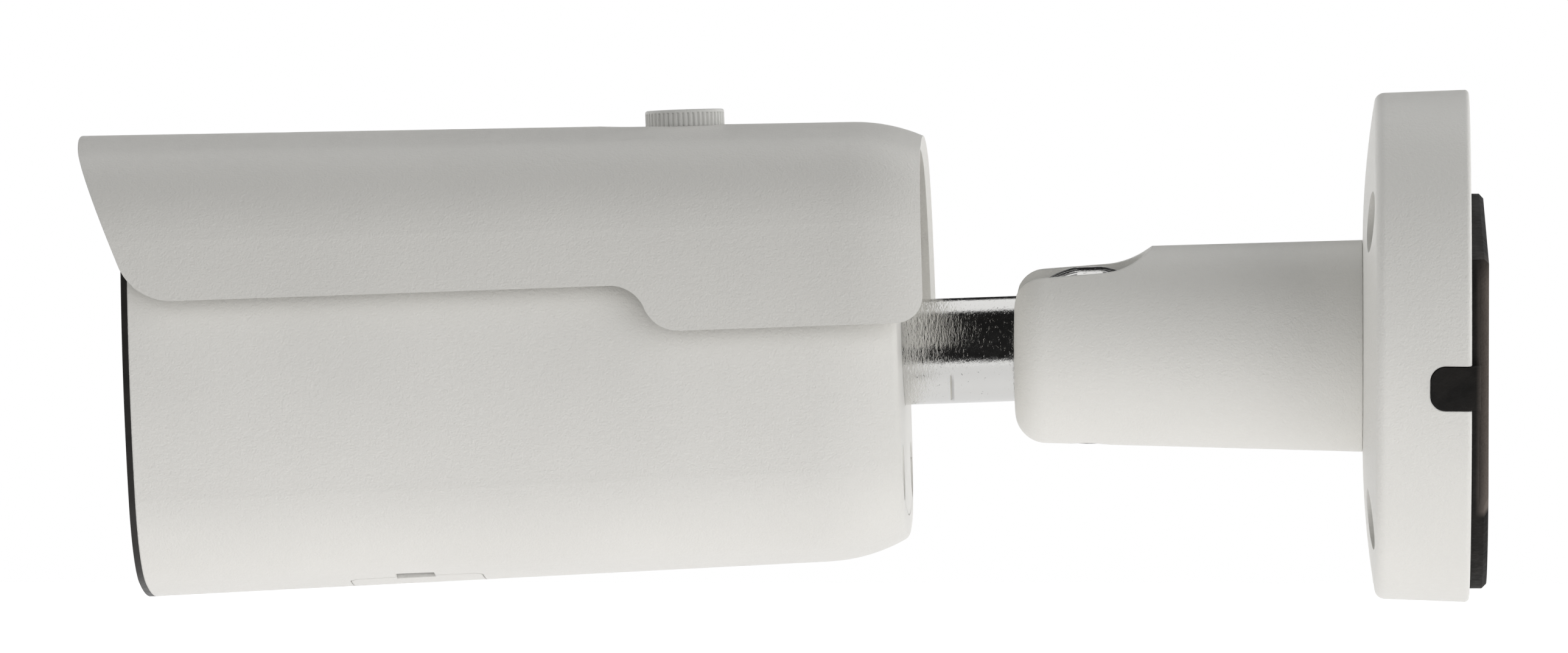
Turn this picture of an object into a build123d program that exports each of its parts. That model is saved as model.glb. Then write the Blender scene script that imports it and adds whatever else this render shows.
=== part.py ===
from build123d import *
import os
from math import cos, radians, sin, sqrt, tan

# Wall-mounted bullet camera on a three-axis bracket, in millimetres.
# X runs into the wall, Z is up, and the origin is the middle of the wall plane.
# Head pieces are placed by (along, across, up) from the ball's centre, on planes pitched with the head.

# Pose of the camera, in degrees
head_pitch = 2.0
sleeve_turn = 4.8
base_turn = 9.5

# General clearances and sheet
running_gap = 0.05
seat_gap = 0.15
swing_gap = 0.3
board = 1.6
cut_past = 1.0

# Base plate, with distances measured out from the wall
gasket_thickness = 3.0
base_radius = 45.0
rim_draft = 0.6
rim_front = 19.3
rim_wall = 3.5
rim_rounding = 1.8
rim_back_rounding = 0.8
dome_front = 21.6
dome_radius = 157.0
dome_flat = 19.5
base_wall = 4.6
screw_inset = 8.0
screw_circle_radius = base_radius - screw_inset
screw_count = 4
screw_start = 45
screw_hole_radius = 2.6
screw_recess_radius = 5.25
screw_floor = 3.5
screw_boss_wall = 1.75

# Cable notch in the rim and wall gasket
notch_width = 7.85
notch_depth = 7.2
notch_corner = 2.7
notch_mouth = 0.8
gasket_inset = 2.4
gasket_radius = base_radius - gasket_inset
gasket_cut = 21.3
gasket_rounding = 0.8
relief_inset = 6.1
relief_depth = 1.7
gasket_screw_radius = 3.2
tab_root = 0.5
cable_hole_radius = 16.0

# Ball arm
ball_x = -69.4
ball_radius = 14.1
belt_width = 4.6
ball_rear = 11.4
arm_radius = 9.25
arm_bore_radius = 5.5
bore_flare_radius = 8.0
bore_flare_length = 5.4
arm_tail = 2.4
arm_nut_thickness = 4.5
arm_nut_radius = 13.0
arm_seal_width = 2.0
arm_seal_height = 1.7

# Pan sleeve, with distances measured out from the wall
sleeve_rear_radius = 18.6
sleeve_taper = 1.56
sleeve_front = 82.6
sleeve_rounding = 5.5
mouth_radius = 11.5
spigot_wall = 2.0
spigot_end = 10.5
slot_side_gap = 0.45
flat_height = 13.6
flat_slope = 4.6
flat_front_rounding = 5.0
flat_blend = 13.2
flat_blend_turn = 45.0
flat_blend_start = 2.5
washer_thickness = 1.6
washer_width = 5.5
sleeve_nut_thickness = 4.2
sleeve_nut_width = 5.0
retainer_length = 5.6
retainer_bore_radius = 9.6
lock_screw_radius = 4.0
lock_screw_sink = 0.4
lock_hex = 4.0
lock_hex_depth = 1.5

# Housing, along the head's axis from the ball (front is negative)
housing_front = -166.0
housing_bend = -47.2
housing_rear = -32.9
housing_half = 38.4
side_taper = 1.0
rear_round = 30.0
rear_rounding = 1.6
housing_wall = 3.0
rear_wall = 8.1
bow_share = 0.165
corner_share = 0.52

# Rear cover
cover_inset = 9.9
cover_half = housing_half - cover_inset
cover_thickness = 4.0
cover_ledge = 4.5
cover_seal = 0.8
cover_screw_radius = 1.25
cover_screw_head = 2.1
cover_screw_length = 5.4
cover_pocket_radius = 4.9
cover_pocket_depth = 1.0

# Front bezel, window and mask
bezel_thickness = 1.1
bezel_lip = 3.5
bezel_width = 6.3
bezel_opening = housing_half - bezel_width
window_thickness = 2.0
window_recess = 0.15
window_ledge = 2.1
front_seal_depth = 1.2
front_seal_width = 1.4
mask_thickness = 1.5
mask_depth = 4.0
mask_rim = 2.0
emitter_inset = 11.6
emitter_reach = bezel_opening - emitter_inset
emitter_radius = 4.4
emitter_base = 1.2
light_sensor_radius = 1.6
light_sensor_inset = 6.1
light_sensor_drop = bezel_opening - light_sensor_inset

# Lens, filter and sensor
hood_radius = 16.4
hood_wall = 1.9
hood_overlap = 4.0
lens_front = -152.0
lens_front_radius = 14.4
lens_front_length = 14.0
lens_middle_radius = 12.0
lens_rear_radius = 8.0
lens_thread = 8.0
lens_glass_radius = 11.5
lens_glass_bulge = 2.2
lens_glass_depth = 3.0
mount_front = -112.0
mount_rear = -98.0
mount_half_width = 17.0
mount_top = 11.0
filter_thickness = 1.2
filter_half_height = 6.1
filter_half_length = 9.8
filter_pitch = 8.0
filter_radius = 4.0
filter_slot_back = 2.6
carriage_gap = 0.2
carriage_end_gap = 1.0
sensor_half_width = 6.0
sensor_half_height = 4.5
sensor_thickness = 1.4
sensor_board_half = 18.0
sensor_board_top = 17.0

# Chassis and boards
shelf_level = -13.0
shelf_thickness = 2.0
shelf_inset = 8.4
shelf_half = housing_half - shelf_inset
shelf_rear = -52.0
shelf_hole = 19.0
rib_overlap = 2.5
rib_height = 3.0
main_board_front = -92.0
main_board_length = 34.0
main_board_inset = 4.0
spacer_height = 4.0
spacer_radius = 2.4
board_inset = 4.0
board_screw_head = 1.4
board_screw_radius = 1.2
chip_half = 7.0
chip_thickness = 2.0

# Access cover in the underside
access_middle = -119.1
access_length = 23.0
access_half = 15.0
access_corner = 2.0
access_thickness = 2.0
access_seal = 0.8
access_ledge = 4.0
access_pad_rim = 3.0
access_pad_depth = 3.7
access_screw_radius = 1.0
access_screw_head = 1.9
access_screw_sink = 0.3
access_screw_head_height = 1.2
pry_length = 6.7
pry_depth = 1.2
pry_reach = 3.2
card_board_rise = 9.6
card_board_length = 22.0
card_board_half = 13.0
card_post_radius = 2.0
socket_length = 12.0
socket_half = 6.0
socket_height = 1.9
switch_across = 9.4
switch_half = 2.4
switch_height = 1.8
button_radius = 1.2
button_height = 2.6
button_travel = 0.25

# Sun visor and its thumbscrew
visor_front = -176.2
visor_bend = -40.4
visor_rear = -28.1
visor_sheet = 2.4
visor_gap = 2.4
visor_half = housing_half + visor_gap + visor_sheet
visor_lean = 21.2
visor_front_corner = 10.0
visor_front_edge = 13.3
visor_rear_edge = 5.1
visor_step_middle = -76.2
visor_step_slope = 67.8
visor_step_corner = 6.4
visor_rear_corner = 4.8
visor_end_edge = 0.3
visor_travel = 8.0
visor_stock = 1.2
thumb_place = -70.0
thumb_radius = 6.95
thumb_show = 2.65
thumb_sink = 1.2
thumb_rim = 0.6
thumb_flutes = 48
thumb_flute = 0.26
thumb_rounding = 0.4
thumb_shank = 2.5
thumb_depth = 8.0
thumb_boss_floor = 2.0
thumb_boss_radius = 6.5
thumb_boss_gap = 0.45


# Planes of the head, the sleeve and the base
pitch = radians(head_pitch)
head_along = (cos(pitch), 0, sin(pitch))
head_up = (-sin(pitch), 0, cos(pitch))


def head_point(along, up):
    """Point in the head's middle plane."""
    return (ball_x + along * cos(pitch) - up * sin(pitch), 0, along * sin(pitch) + up * cos(pitch))


def head_section(along):
    """Plane across the head: across and up, facing the wall."""
    return Plane(origin=head_point(along, 0), x_dir=(0, 1, 0), z_dir=head_along)


def head_level(up):
    """Plane along the head at one height: along and across, facing up."""
    return Plane(origin=head_point(0, up), x_dir=head_along, z_dir=head_up)


head_side = Plane(origin=head_point(0, 0), x_dir=head_along, z_dir=(0, -1, 0))
head_axis = Axis(head_point(0, 0), head_along)

turn = radians(sleeve_turn)
sleeve_side = Plane(origin=(0, 0, 0), x_dir=(1, 0, 0), z_dir=(0, -cos(turn), -sin(turn)))
sleeve_plan = Plane(origin=(0, 0, 0), x_dir=(1, 0, 0), z_dir=(0, -sin(turn), cos(turn)))

roll = radians(base_turn)
base_side = Plane(origin=(0, 0, 0), x_dir=(1, 0, 0), z_dir=(0, -cos(roll), -sin(roll)))


def base_section(distance):
    """Plane parallel to the wall, turned with the base, facing the wall."""
    return Plane(origin=(-distance, 0, 0), x_dir=(0, cos(roll), sin(roll)), z_dir=(1, 0, 0))


# Softly squared outline of the head: bowed sides and round corners
def soft_square(plane, half):
    """Bowed square on a plane, with sides at the given half size."""
    reach = half * (1 - bow_share)
    with BuildSketch(plane) as outline:
        with BuildLine():
            ThreePointArc((-reach, -reach), (0, -half), (reach, -reach))
            ThreePointArc((reach, -reach), (half, 0), (reach, reach))
            ThreePointArc((reach, reach), (0, half), (-reach, reach))
            ThreePointArc((-reach, reach), (-half, 0), (-reach, -reach))
        make_face()
        fillet(outline.vertices(), half * corner_share)
    return outline.sketch


# Place of the rounded corner on the diagonal, as a share of the half size
side_curve = ((1 - bow_share) ** 2 + bow_share**2) / (2 * bow_share)
corner_middle = (sqrt(2 * (side_curve - corner_share) ** 2 - (side_curve - 1) ** 2) - side_curve + 1) / 2
corner_reach = corner_middle + corner_share / sqrt(2)


def drawn_in_half(along, front, front_half, bend):
    """Half size of a tapered body whose rear end is drawn in past the bend."""
    past = max(0.0, along - bend)
    drawn_in = rear_round - sqrt(rear_round**2 - past**2)
    return front_half - (along - front) * tan(radians(side_taper)) - drawn_in


def housing_half_at(along):
    return drawn_in_half(along, housing_front, housing_half, housing_bend)


def visor_half_at(along):
    return drawn_in_half(along, visor_front, visor_half, visor_bend)


def head_body(half_at, front, bend, rear, inset):
    """Solid of a tapered body, drawn in at the rear, set in by a wall."""
    steps = 3
    bent = [bend + (rear - bend) * step / steps for step in range(steps + 1)]
    with BuildPart() as body:
        loft([soft_square(head_section(x), half_at(x) - inset) for x in (front, bend)], ruled=True)
        loft([soft_square(head_section(x), half_at(x) - inset) for x in bent])
    return body.part


os.makedirs("parts", exist_ok=True)


# Base plate: domed round casting, hollow behind, with screw bosses and a cable notch
base_back = gasket_thickness
base_inside = dome_front - base_wall
socket_radius = ball_radius + swing_gap
spigot_radius = socket_radius + spigot_wall
with BuildPart() as base_plate:
    with BuildSketch(Plane.XZ) as base_profile:
        with BuildLine():
            Polyline(
                (-base_inside, base_radius - rim_wall),
                (-base_back, base_radius - rim_wall),
                (-base_back, base_radius),
                (-rim_front, base_radius - rim_draft),
            )
            RadiusArc((-rim_front, base_radius - rim_draft), (-dome_front, dome_flat), -dome_radius)
            Polyline(
                (-dome_front, dome_flat),
                (-dome_front, spigot_radius + running_gap),
                (-base_inside, spigot_radius + running_gap),
                (-base_inside, base_radius - rim_wall),
            )
        make_face()
        rim_corners = base_profile.vertices().sort_by(Axis.Y)[-2:].sort_by(Axis.X)
        fillet(rim_corners[0], rim_rounding)
        fillet(base_profile.vertices().sort_by(Axis.Y)[-1], rim_back_rounding)
    revolve(axis=Axis.X)
    with BuildSketch(base_section(base_back)):
        with PolarLocations(screw_circle_radius, screw_count, screw_start):
            Circle(screw_recess_radius + screw_boss_wall)
    extrude(amount=base_back - base_inside - cut_past)
    with BuildSketch(base_section(base_back)):
        with PolarLocations(screw_circle_radius, screw_count, screw_start):
            Circle(screw_hole_radius)
    extrude(amount=-dome_front, mode=Mode.SUBTRACT)
    with BuildSketch(base_section(base_back + screw_floor)):
        with PolarLocations(screw_circle_radius, screw_count, screw_start):
            Circle(screw_recess_radius)
    extrude(amount=-dome_front, mode=Mode.SUBTRACT)
    with BuildSketch(base_side.offset(base_radius - 2 * rim_wall)) as notch:
        with Locations((-base_back - notch_depth / 2, 0)):
            Rectangle(notch_depth, notch_width)
        with Locations((-base_back / 2, 0)):
            Rectangle(base_back, 2 * notch_width)
        fillet(notch.vertices().group_by(Axis.X)[0], notch_corner)
        mouth_corners = notch.vertices().filter_by_position(Axis.X, -base_back, -base_back).sort_by(Axis.Y)
        fillet(mouth_corners[1:3], notch_mouth)
    extrude(amount=3 * rim_wall, mode=Mode.SUBTRACT)
base_plate.part.label = "base_plate"
export_step(base_plate.part, "parts/base_plate.step")


# Wall gasket: rubber disc cut straight above, with a tab that fills the notch
with BuildPart() as wall_gasket:
    with BuildSketch(base_section(0)):
        Circle(gasket_radius)
        with Locations((0, gasket_cut + gasket_radius)):
            Rectangle(2 * gasket_radius, 2 * gasket_radius, mode=Mode.SUBTRACT)
        Circle(cable_hole_radius, mode=Mode.SUBTRACT)
        with PolarLocations(screw_circle_radius, screw_count, screw_start):
            Circle(gasket_screw_radius, mode=Mode.SUBTRACT)
    extrude(amount=-gasket_thickness)
    back_edge = wall_gasket.faces().sort_by(Axis.X)[-1].outer_wire().edges()
    chamfer(back_edge, gasket_rounding)
    with BuildSketch(base_section(0)):
        with Locations((-gasket_radius, 0)):
            Rectangle(2 * relief_inset, 2 * gasket_radius)
    extrude(amount=-relief_depth, mode=Mode.SUBTRACT)
    with BuildSketch(base_side.offset(base_radius - rim_wall - tab_root)):
        with Locations((-gasket_thickness, 0)):
            RectangleRounded(
                2 * (notch_depth - seat_gap), notch_width - 2 * seat_gap, notch_corner - seat_gap
            )
        with Locations((base_radius - gasket_thickness / 2, 0)):
            Rectangle(2 * base_radius, notch_width, mode=Mode.SUBTRACT)
    extrude(amount=rim_wall + tab_root - seat_gap)
wall_gasket.part.label = "wall_gasket"
export_step(wall_gasket.part, "parts/wall_gasket.step")


# Pan sleeve: conical sleeve that turns on the base, with a ball socket and an open tilt slot
sleeve_rear = dome_front + running_gap
sleeve_front_radius = sleeve_rear_radius - (sleeve_front - sleeve_rear) * tan(radians(sleeve_taper))
with BuildPart() as pan_sleeve:
    with BuildSketch(Plane.XZ) as sleeve_profile:
        with BuildLine():
            Polyline(
                (-spigot_end, socket_radius),
                (-spigot_end, spigot_radius),
                (-sleeve_rear, spigot_radius),
                (-sleeve_rear, sleeve_rear_radius),
                (-sleeve_front, sleeve_front_radius),
                (-sleeve_front, mouth_radius),
                (ball_x, mouth_radius),
                (ball_x, socket_radius),
                close=True,
            )
        make_face()
        fillet(sleeve_profile.vertices().group_by(Axis.X)[0].sort_by(Axis.Y)[-1], sleeve_rounding)
    revolve(axis=Axis.X)
    with Locations((ball_x, 0, 0)):
        Sphere(socket_radius, mode=Mode.SUBTRACT)
    slot_half = arm_radius + slot_side_gap
    with BuildSketch(sleeve_plan):
        with Locations((ball_x, 0)):
            Circle(slot_half)
        with Locations(((ball_x - sleeve_front) / 2 - slot_half, 0)):
            Rectangle(sleeve_front + ball_x + 2 * slot_half, 2 * slot_half)
    extrude(amount=2 * sleeve_rear_radius, mode=Mode.SUBTRACT)
    slope = radians(flat_slope)
    blend_turn = radians(flat_blend_turn)
    blend_start = (ball_x + flat_blend_start, flat_height)
    blend_end = (
        blend_start[0] + flat_blend * (sin(blend_turn) - sin(slope)),
        blend_start[1] + flat_blend * (cos(slope) - cos(blend_turn)),
    )
    flat_front = flat_height - (blend_start[0] + sleeve_front) * tan(slope)
    above = 2 * sleeve_rear_radius
    with BuildSketch(sleeve_side) as flat_cut:
        with BuildLine():
            Polyline(
                (-sleeve_front - cut_past, 0),
                (-sleeve_front, 0),
                (-sleeve_front, flat_front),
                blend_start,
            )
            TangentArc(blend_start, blend_end, tangent=(cos(slope), sin(slope)))
            Polyline(
                blend_end,
                (blend_end[0] + above - blend_end[1], above),
                (-sleeve_front - cut_past, above),
                (-sleeve_front - cut_past, 0),
            )
        make_face()
        fillet(flat_cut.vertices().sort_by_distance((-sleeve_front, flat_front))[0], flat_front_rounding)
    extrude(amount=above, both=True, mode=Mode.SUBTRACT)
    with BuildSketch(sleeve_plan):
        with Locations((ball_x, 0)):
            Circle(lock_screw_radius + running_gap)
    extrude(amount=-above, mode=Mode.SUBTRACT)
pan_sleeve.part.label = "pan_sleeve"
export_step(pan_sleeve.part, "parts/pan_sleeve.step")


# Friction washer and nut that hold the sleeve in the base from behind
with BuildPart() as friction_washer:
    with BuildSketch(base_section(base_inside - running_gap)):
        Circle(spigot_radius + swing_gap + washer_width)
        Circle(spigot_radius + swing_gap, mode=Mode.SUBTRACT)
    extrude(amount=washer_thickness)
friction_washer.part.label = "friction_washer"
export_step(friction_washer.part, "parts/friction_washer.step")

with BuildPart() as sleeve_nut:
    with BuildSketch(base_section(base_inside - washer_thickness - 2 * running_gap)):
        RegularPolygon(spigot_radius + sleeve_nut_width, 12)
        Circle(spigot_radius + running_gap, mode=Mode.SUBTRACT)
    extrude(amount=sleeve_nut_thickness)
sleeve_nut.part.label = "sleeve_nut"
export_step(sleeve_nut.part, "parts/sleeve_nut.step")


# Ball retainer: ring behind the ball with a round seat
retainer_front = slot_half + 2 * running_gap
seat_edge = sqrt(socket_radius**2 - retainer_front**2)
seat_depth = sqrt(socket_radius**2 - retainer_bore_radius**2)
seat_middle = (retainer_front + seat_depth) / 2
retainer_rear = ball_x + retainer_front + retainer_length
with BuildPart() as ball_retainer:
    with BuildSketch(Plane.XZ):
        with BuildLine():
            ThreePointArc(
                (ball_x + retainer_front, seat_edge),
                (ball_x + seat_middle, sqrt(socket_radius**2 - seat_middle**2)),
                (ball_x + seat_depth, retainer_bore_radius),
            )
            Polyline(
                (ball_x + seat_depth, retainer_bore_radius),
                (retainer_rear, retainer_bore_radius),
                (retainer_rear, socket_radius - running_gap),
                (ball_x + retainer_front, socket_radius - running_gap),
                (ball_x + retainer_front, seat_edge),
            )
        make_face()
    revolve(axis=Axis.X)
ball_retainer.part.label = "ball_retainer"
export_step(ball_retainer.part, "parts/ball_retainer.step")


# Lock screw: socket screw under the sleeve that clamps the ball
lock_outer = sleeve_rear_radius - (-ball_x - sleeve_rear) * tan(radians(sleeve_taper)) - lock_screw_sink
with BuildPart() as lock_screw:
    with BuildSketch(sleeve_plan.offset(-lock_outer)):
        with Locations((ball_x, 0)):
            Circle(lock_screw_radius)
    extrude(amount=lock_outer - ball_radius - seat_gap)
    with BuildSketch(sleeve_plan.offset(-lock_outer)):
        with Locations((ball_x, 0)):
            RegularPolygon(lock_hex / 2, 6, major_radius=False)
    extrude(amount=lock_hex_depth, mode=Mode.SUBTRACT)
lock_screw.part.label = "lock_screw"
export_step(lock_screw.part, "parts/lock_screw.step")


# Ball arm: hollow round arm with a belted ball
cover_inside = housing_rear - cover_thickness
arm_end = cover_inside - running_gap - arm_nut_thickness - arm_tail
belt_half = belt_width / 2
belt_radius = sqrt(ball_radius**2 - belt_half**2)
ball_neck = -sqrt(ball_radius**2 - arm_radius**2)
rear_radius = sqrt(ball_radius**2 - ball_rear**2)


def ball_arc(start, end):
    """Arc of the ball's outline between two places along the arm."""
    middle = (start + end) / 2
    return ThreePointArc(
        (start, sqrt(ball_radius**2 - start**2)),
        (middle, sqrt(ball_radius**2 - middle**2)),
        (end, sqrt(ball_radius**2 - end**2)),
    )


with BuildPart() as ball_arm:
    with BuildSketch(head_side):
        with BuildLine():
            Polyline(
                (ball_rear - bore_flare_length, arm_bore_radius),
                (arm_end, arm_bore_radius),
                (arm_end, arm_radius),
                (ball_neck, arm_radius),
            )
            ball_arc(ball_neck, -belt_half)
            Line((-belt_half, belt_radius), (belt_half, belt_radius))
            ball_arc(belt_half, ball_rear)
            Polyline(
                (ball_rear, rear_radius),
                (ball_rear, bore_flare_radius),
                (ball_rear - bore_flare_length, arm_bore_radius),
            )
        make_face()
    revolve(axis=head_axis)
ball_arm.part.label = "ball_arm"
export_step(ball_arm.part, "parts/ball_arm.step")


# Arm nut inside the housing and arm seal in the rear cover
with BuildPart() as arm_nut:
    with BuildSketch(head_section(cover_inside - running_gap)):
        RegularPolygon(arm_nut_radius, 6)
        Circle(arm_radius + running_gap, mode=Mode.SUBTRACT)
    extrude(amount=-arm_nut_thickness)
arm_nut.part.label = "arm_nut"
export_step(arm_nut.part, "parts/arm_nut.step")

arm_seal_middle = housing_rear - cover_thickness / 2
with BuildPart() as arm_seal:
    with BuildSketch(head_section(arm_seal_middle)):
        Circle(arm_radius + arm_seal_height)
        Circle(arm_radius + running_gap, mode=Mode.SUBTRACT)
    extrude(amount=arm_seal_width / 2, both=True)
arm_seal.part.label = "arm_seal"
export_step(arm_seal.part, "parts/arm_seal.step")


# Housing: tapered tube with a stepped rear opening, a thumbscrew boss and an access opening
cavity_rear = housing_rear - rear_wall
ledge_half = cover_half - cover_ledge
cover_screw_reach = corner_reach * (cover_half - cover_ledge / 2)
visor_crown = visor_half_at(thumb_place)
thumb_boss_top = visor_crown - visor_sheet - thumb_boss_gap
access_surface = -housing_half_at(access_middle)
access_inner = access_surface + access_thickness
access_pad_top = access_inner + access_pad_depth
access_ledge_level = access_inner + access_seal
shelf_top = shelf_level + shelf_thickness
rib_half = shelf_half - rib_overlap
rib_outer = housing_half - 2 * housing_wall
rib_front = mount_front - lens_front_length
rib_length = shelf_rear - rib_front
housing_outside = head_body(housing_half_at, housing_front, housing_bend, housing_rear, 0)
with BuildPart() as access_pad:
    with BuildSketch(head_level(access_pad_top)):
        with Locations((access_middle, 0)):
            Rectangle(access_length + 2 * access_pad_rim, 2 * (access_half + access_pad_rim))
    extrude(amount=access_inner - access_pad_top)
    add(housing_outside, mode=Mode.INTERSECT)
with BuildPart() as housing:
    add(housing_outside)
    rear_edges = housing.faces().sort_by(head_axis)[-1].outer_wire().edges()
    fillet(rear_edges, rear_rounding)
    with BuildSketch(head_level(visor_crown / 2)):
        with Locations((thumb_place, 0)):
            Circle(thumb_boss_radius)
    extrude(amount=thumb_boss_top - visor_crown / 2)
    cavity_places = (housing_front - cut_past, cavity_rear)
    tube_taper = tan(radians(side_taper))
    loft(
        [
            soft_square(head_section(x), housing_half - housing_wall - (x - housing_front) * tube_taper)
            for x in cavity_places
        ],
        ruled=True,
        mode=Mode.SUBTRACT,
    )
    extrude(
        soft_square(head_section(cavity_rear - cut_past), ledge_half),
        amount=rear_wall + 2 * cut_past,
        mode=Mode.SUBTRACT,
    )
    extrude(
        soft_square(head_section(cover_inside - cover_seal), cover_half + seat_gap),
        amount=cover_thickness + cover_seal + cut_past,
        mode=Mode.SUBTRACT,
    )
    with BuildSketch(head_section(cavity_rear)):
        with GridLocations(2 * cover_screw_reach, 2 * cover_screw_reach, 2, 2):
            Circle(cover_screw_radius + running_gap)
    extrude(amount=rear_wall, mode=Mode.SUBTRACT)
    with BuildSketch(head_section(housing_rear - cover_pocket_depth)):
        with GridLocations(2 * cover_screw_reach, 2 * cover_screw_reach, 2, 2):
            Circle(cover_pocket_radius)
    extrude(amount=cover_thickness, mode=Mode.SUBTRACT)
    with BuildSketch(head_level(thumb_boss_top - thumb_depth - thumb_boss_floor)):
        with Locations((thumb_place, 0)):
            Circle(thumb_boss_radius)
    extrude(amount=thumb_depth)
    with BuildSketch(head_level(thumb_boss_top)):
        with Locations((thumb_place, 0)):
            Circle(thumb_shank + running_gap)
    extrude(amount=-thumb_depth, mode=Mode.SUBTRACT)
    with BuildSketch(head_level(shelf_level)):
        with Locations((rib_front + rib_length / 2, 0)):
            with GridLocations(0, rib_half + rib_outer, 1, 2):
                Rectangle(rib_length, rib_outer - rib_half)
    extrude(amount=-rib_height)
    add(access_pad.part)
    with BuildSketch(head_level(access_pad_top)):
        with Locations((access_middle, 0)):
            Rectangle(access_length - 2 * access_ledge, 2 * (access_half - access_ledge))
            with GridLocations(access_length - access_ledge, 0, 2, 1):
                Circle(access_screw_radius + running_gap)
    extrude(amount=access_ledge_level - access_pad_top, mode=Mode.SUBTRACT)
    with BuildSketch(head_level(access_ledge_level)):
        with Locations((access_middle, 0)):
            RectangleRounded(access_length + 2 * seat_gap, 2 * (access_half + seat_gap), access_corner)
    extrude(amount=-housing_half, mode=Mode.SUBTRACT)
    with BuildSketch(head_level(access_inner)):
        with Locations((access_middle, -access_half - pry_reach / 2)):
            Rectangle(pry_length, pry_reach)
    extrude(amount=-housing_half, mode=Mode.SUBTRACT)
housing.part.label = "housing"
export_step(housing.part, "parts/housing.step")


# Rear cover with its seal and screws
with BuildPart() as rear_cover:
    extrude(soft_square(head_section(cover_inside), cover_half), amount=cover_thickness)
    with BuildSketch(head_section(cover_inside)):
        Circle(arm_radius + running_gap)
        with GridLocations(2 * cover_screw_reach, 2 * cover_screw_reach, 2, 2):
            Circle(cover_screw_radius + running_gap)
    extrude(amount=cover_thickness, mode=Mode.SUBTRACT)
    with BuildSketch(head_section(housing_rear)):
        with GridLocations(2 * cover_screw_reach, 2 * cover_screw_reach, 2, 2):
            Circle(cover_screw_head + running_gap)
    extrude(amount=-cover_thickness / 2, mode=Mode.SUBTRACT)
    with BuildSketch(head_section(housing_rear)):
        with GridLocations(2 * cover_screw_reach, 2 * cover_screw_reach, 2, 2):
            Circle(cover_pocket_radius)
    extrude(amount=-cover_pocket_depth, mode=Mode.SUBTRACT)
    with BuildSketch(head_section(arm_seal_middle)):
        Circle(arm_radius + arm_seal_height + running_gap)
    extrude(amount=arm_seal_width / 2 + running_gap, both=True, mode=Mode.SUBTRACT)
rear_cover.part.label = "rear_cover"
export_step(rear_cover.part, "parts/rear_cover.step")

with BuildPart() as rear_cover_seal:
    extrude(soft_square(head_section(cover_inside), cover_half - seat_gap), amount=-cover_seal)
    extrude(
        soft_square(head_section(cover_inside), ledge_half + seat_gap), amount=-cover_seal, mode=Mode.SUBTRACT
    )
    with BuildSketch(head_section(cover_inside)):
        with GridLocations(2 * cover_screw_reach, 2 * cover_screw_reach, 2, 2):
            Circle(cover_screw_radius + running_gap)
    extrude(amount=-cover_seal, mode=Mode.SUBTRACT)
rear_cover_seal.part.label = "rear_cover_seal"
export_step(rear_cover_seal.part, "parts/rear_cover_seal.step")

with BuildPart() as rear_cover_screws:
    with BuildSketch(head_section(housing_rear - cover_thickness / 2)):
        with GridLocations(2 * cover_screw_reach, 2 * cover_screw_reach, 2, 2):
            Circle(cover_screw_head)
    extrude(amount=cover_thickness / 2 - seat_gap)
    with BuildSketch(head_section(housing_rear - cover_thickness / 2)):
        with GridLocations(2 * cover_screw_reach, 2 * cover_screw_reach, 2, 2):
            Circle(cover_screw_radius)
    extrude(amount=-cover_screw_length)
rear_cover_screws.part.label = "rear_cover_screws"
export_step(rear_cover_screws.part, "parts/rear_cover_screws.step")


# Front bezel: black rim that closes the housing and holds the window
bezel_front = housing_front - bezel_thickness
bezel_back = housing_front + bezel_lip
lip_half = housing_half - housing_wall - bezel_lip * tube_taper - seat_gap
window_front = bezel_front + window_recess
window_back = window_front + window_thickness
ledge_opening = bezel_opening - window_ledge
seal_front = bezel_back - front_seal_depth
with BuildPart() as front_bezel:
    extrude(soft_square(head_section(bezel_front), housing_half), amount=bezel_thickness)
    extrude(soft_square(head_section(housing_front), lip_half), amount=bezel_lip - front_seal_depth)
    extrude(soft_square(head_section(seal_front), lip_half - front_seal_width), amount=front_seal_depth)
    extrude(
        soft_square(head_section(bezel_front), bezel_opening),
        amount=window_recess + window_thickness,
        mode=Mode.SUBTRACT,
    )
    extrude(
        soft_square(head_section(bezel_front), ledge_opening),
        amount=bezel_thickness + bezel_lip,
        mode=Mode.SUBTRACT,
    )
front_bezel.part.label = "front_bezel"
export_step(front_bezel.part, "parts/front_bezel.step")

with BuildPart() as front_window:
    extrude(soft_square(head_section(window_front), bezel_opening - running_gap), amount=window_thickness)
front_window.part.label = "front_window"
export_step(front_window.part, "parts/front_window.step")

with BuildPart() as front_seal:
    extrude(soft_square(head_section(seal_front), lip_half), amount=front_seal_depth)
    extrude(
        soft_square(head_section(seal_front), lip_half - front_seal_width + running_gap),
        amount=front_seal_depth,
        mode=Mode.SUBTRACT,
    )
front_seal.part.label = "front_seal"
export_step(front_seal.part, "parts/front_seal.step")


# Face mask: dark dish behind the window with openings for lens, emitters and light sensor
mask_back = bezel_back + mask_depth
mask_half = lip_half - front_seal_width
mask_face = mask_back - mask_thickness
hood_hole = hood_radius + 2 * swing_gap
with BuildPart() as face_mask:
    extrude(soft_square(head_section(bezel_back), mask_half), amount=mask_depth)
    extrude(
        soft_square(head_section(bezel_back), mask_half - mask_rim),
        amount=mask_depth - mask_thickness,
        mode=Mode.SUBTRACT,
    )
    with BuildSketch(head_section(mask_back)):
        Circle(hood_hole)
        with GridLocations(2 * emitter_reach, 2 * emitter_reach, 2, 2):
            Circle(emitter_radius + swing_gap)
        with Locations((0, -light_sensor_drop)):
            Circle(light_sensor_radius + swing_gap)
    extrude(amount=-mask_thickness, mode=Mode.SUBTRACT)
face_mask.part.label = "face_mask"
export_step(face_mask.part, "parts/face_mask.step")


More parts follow.
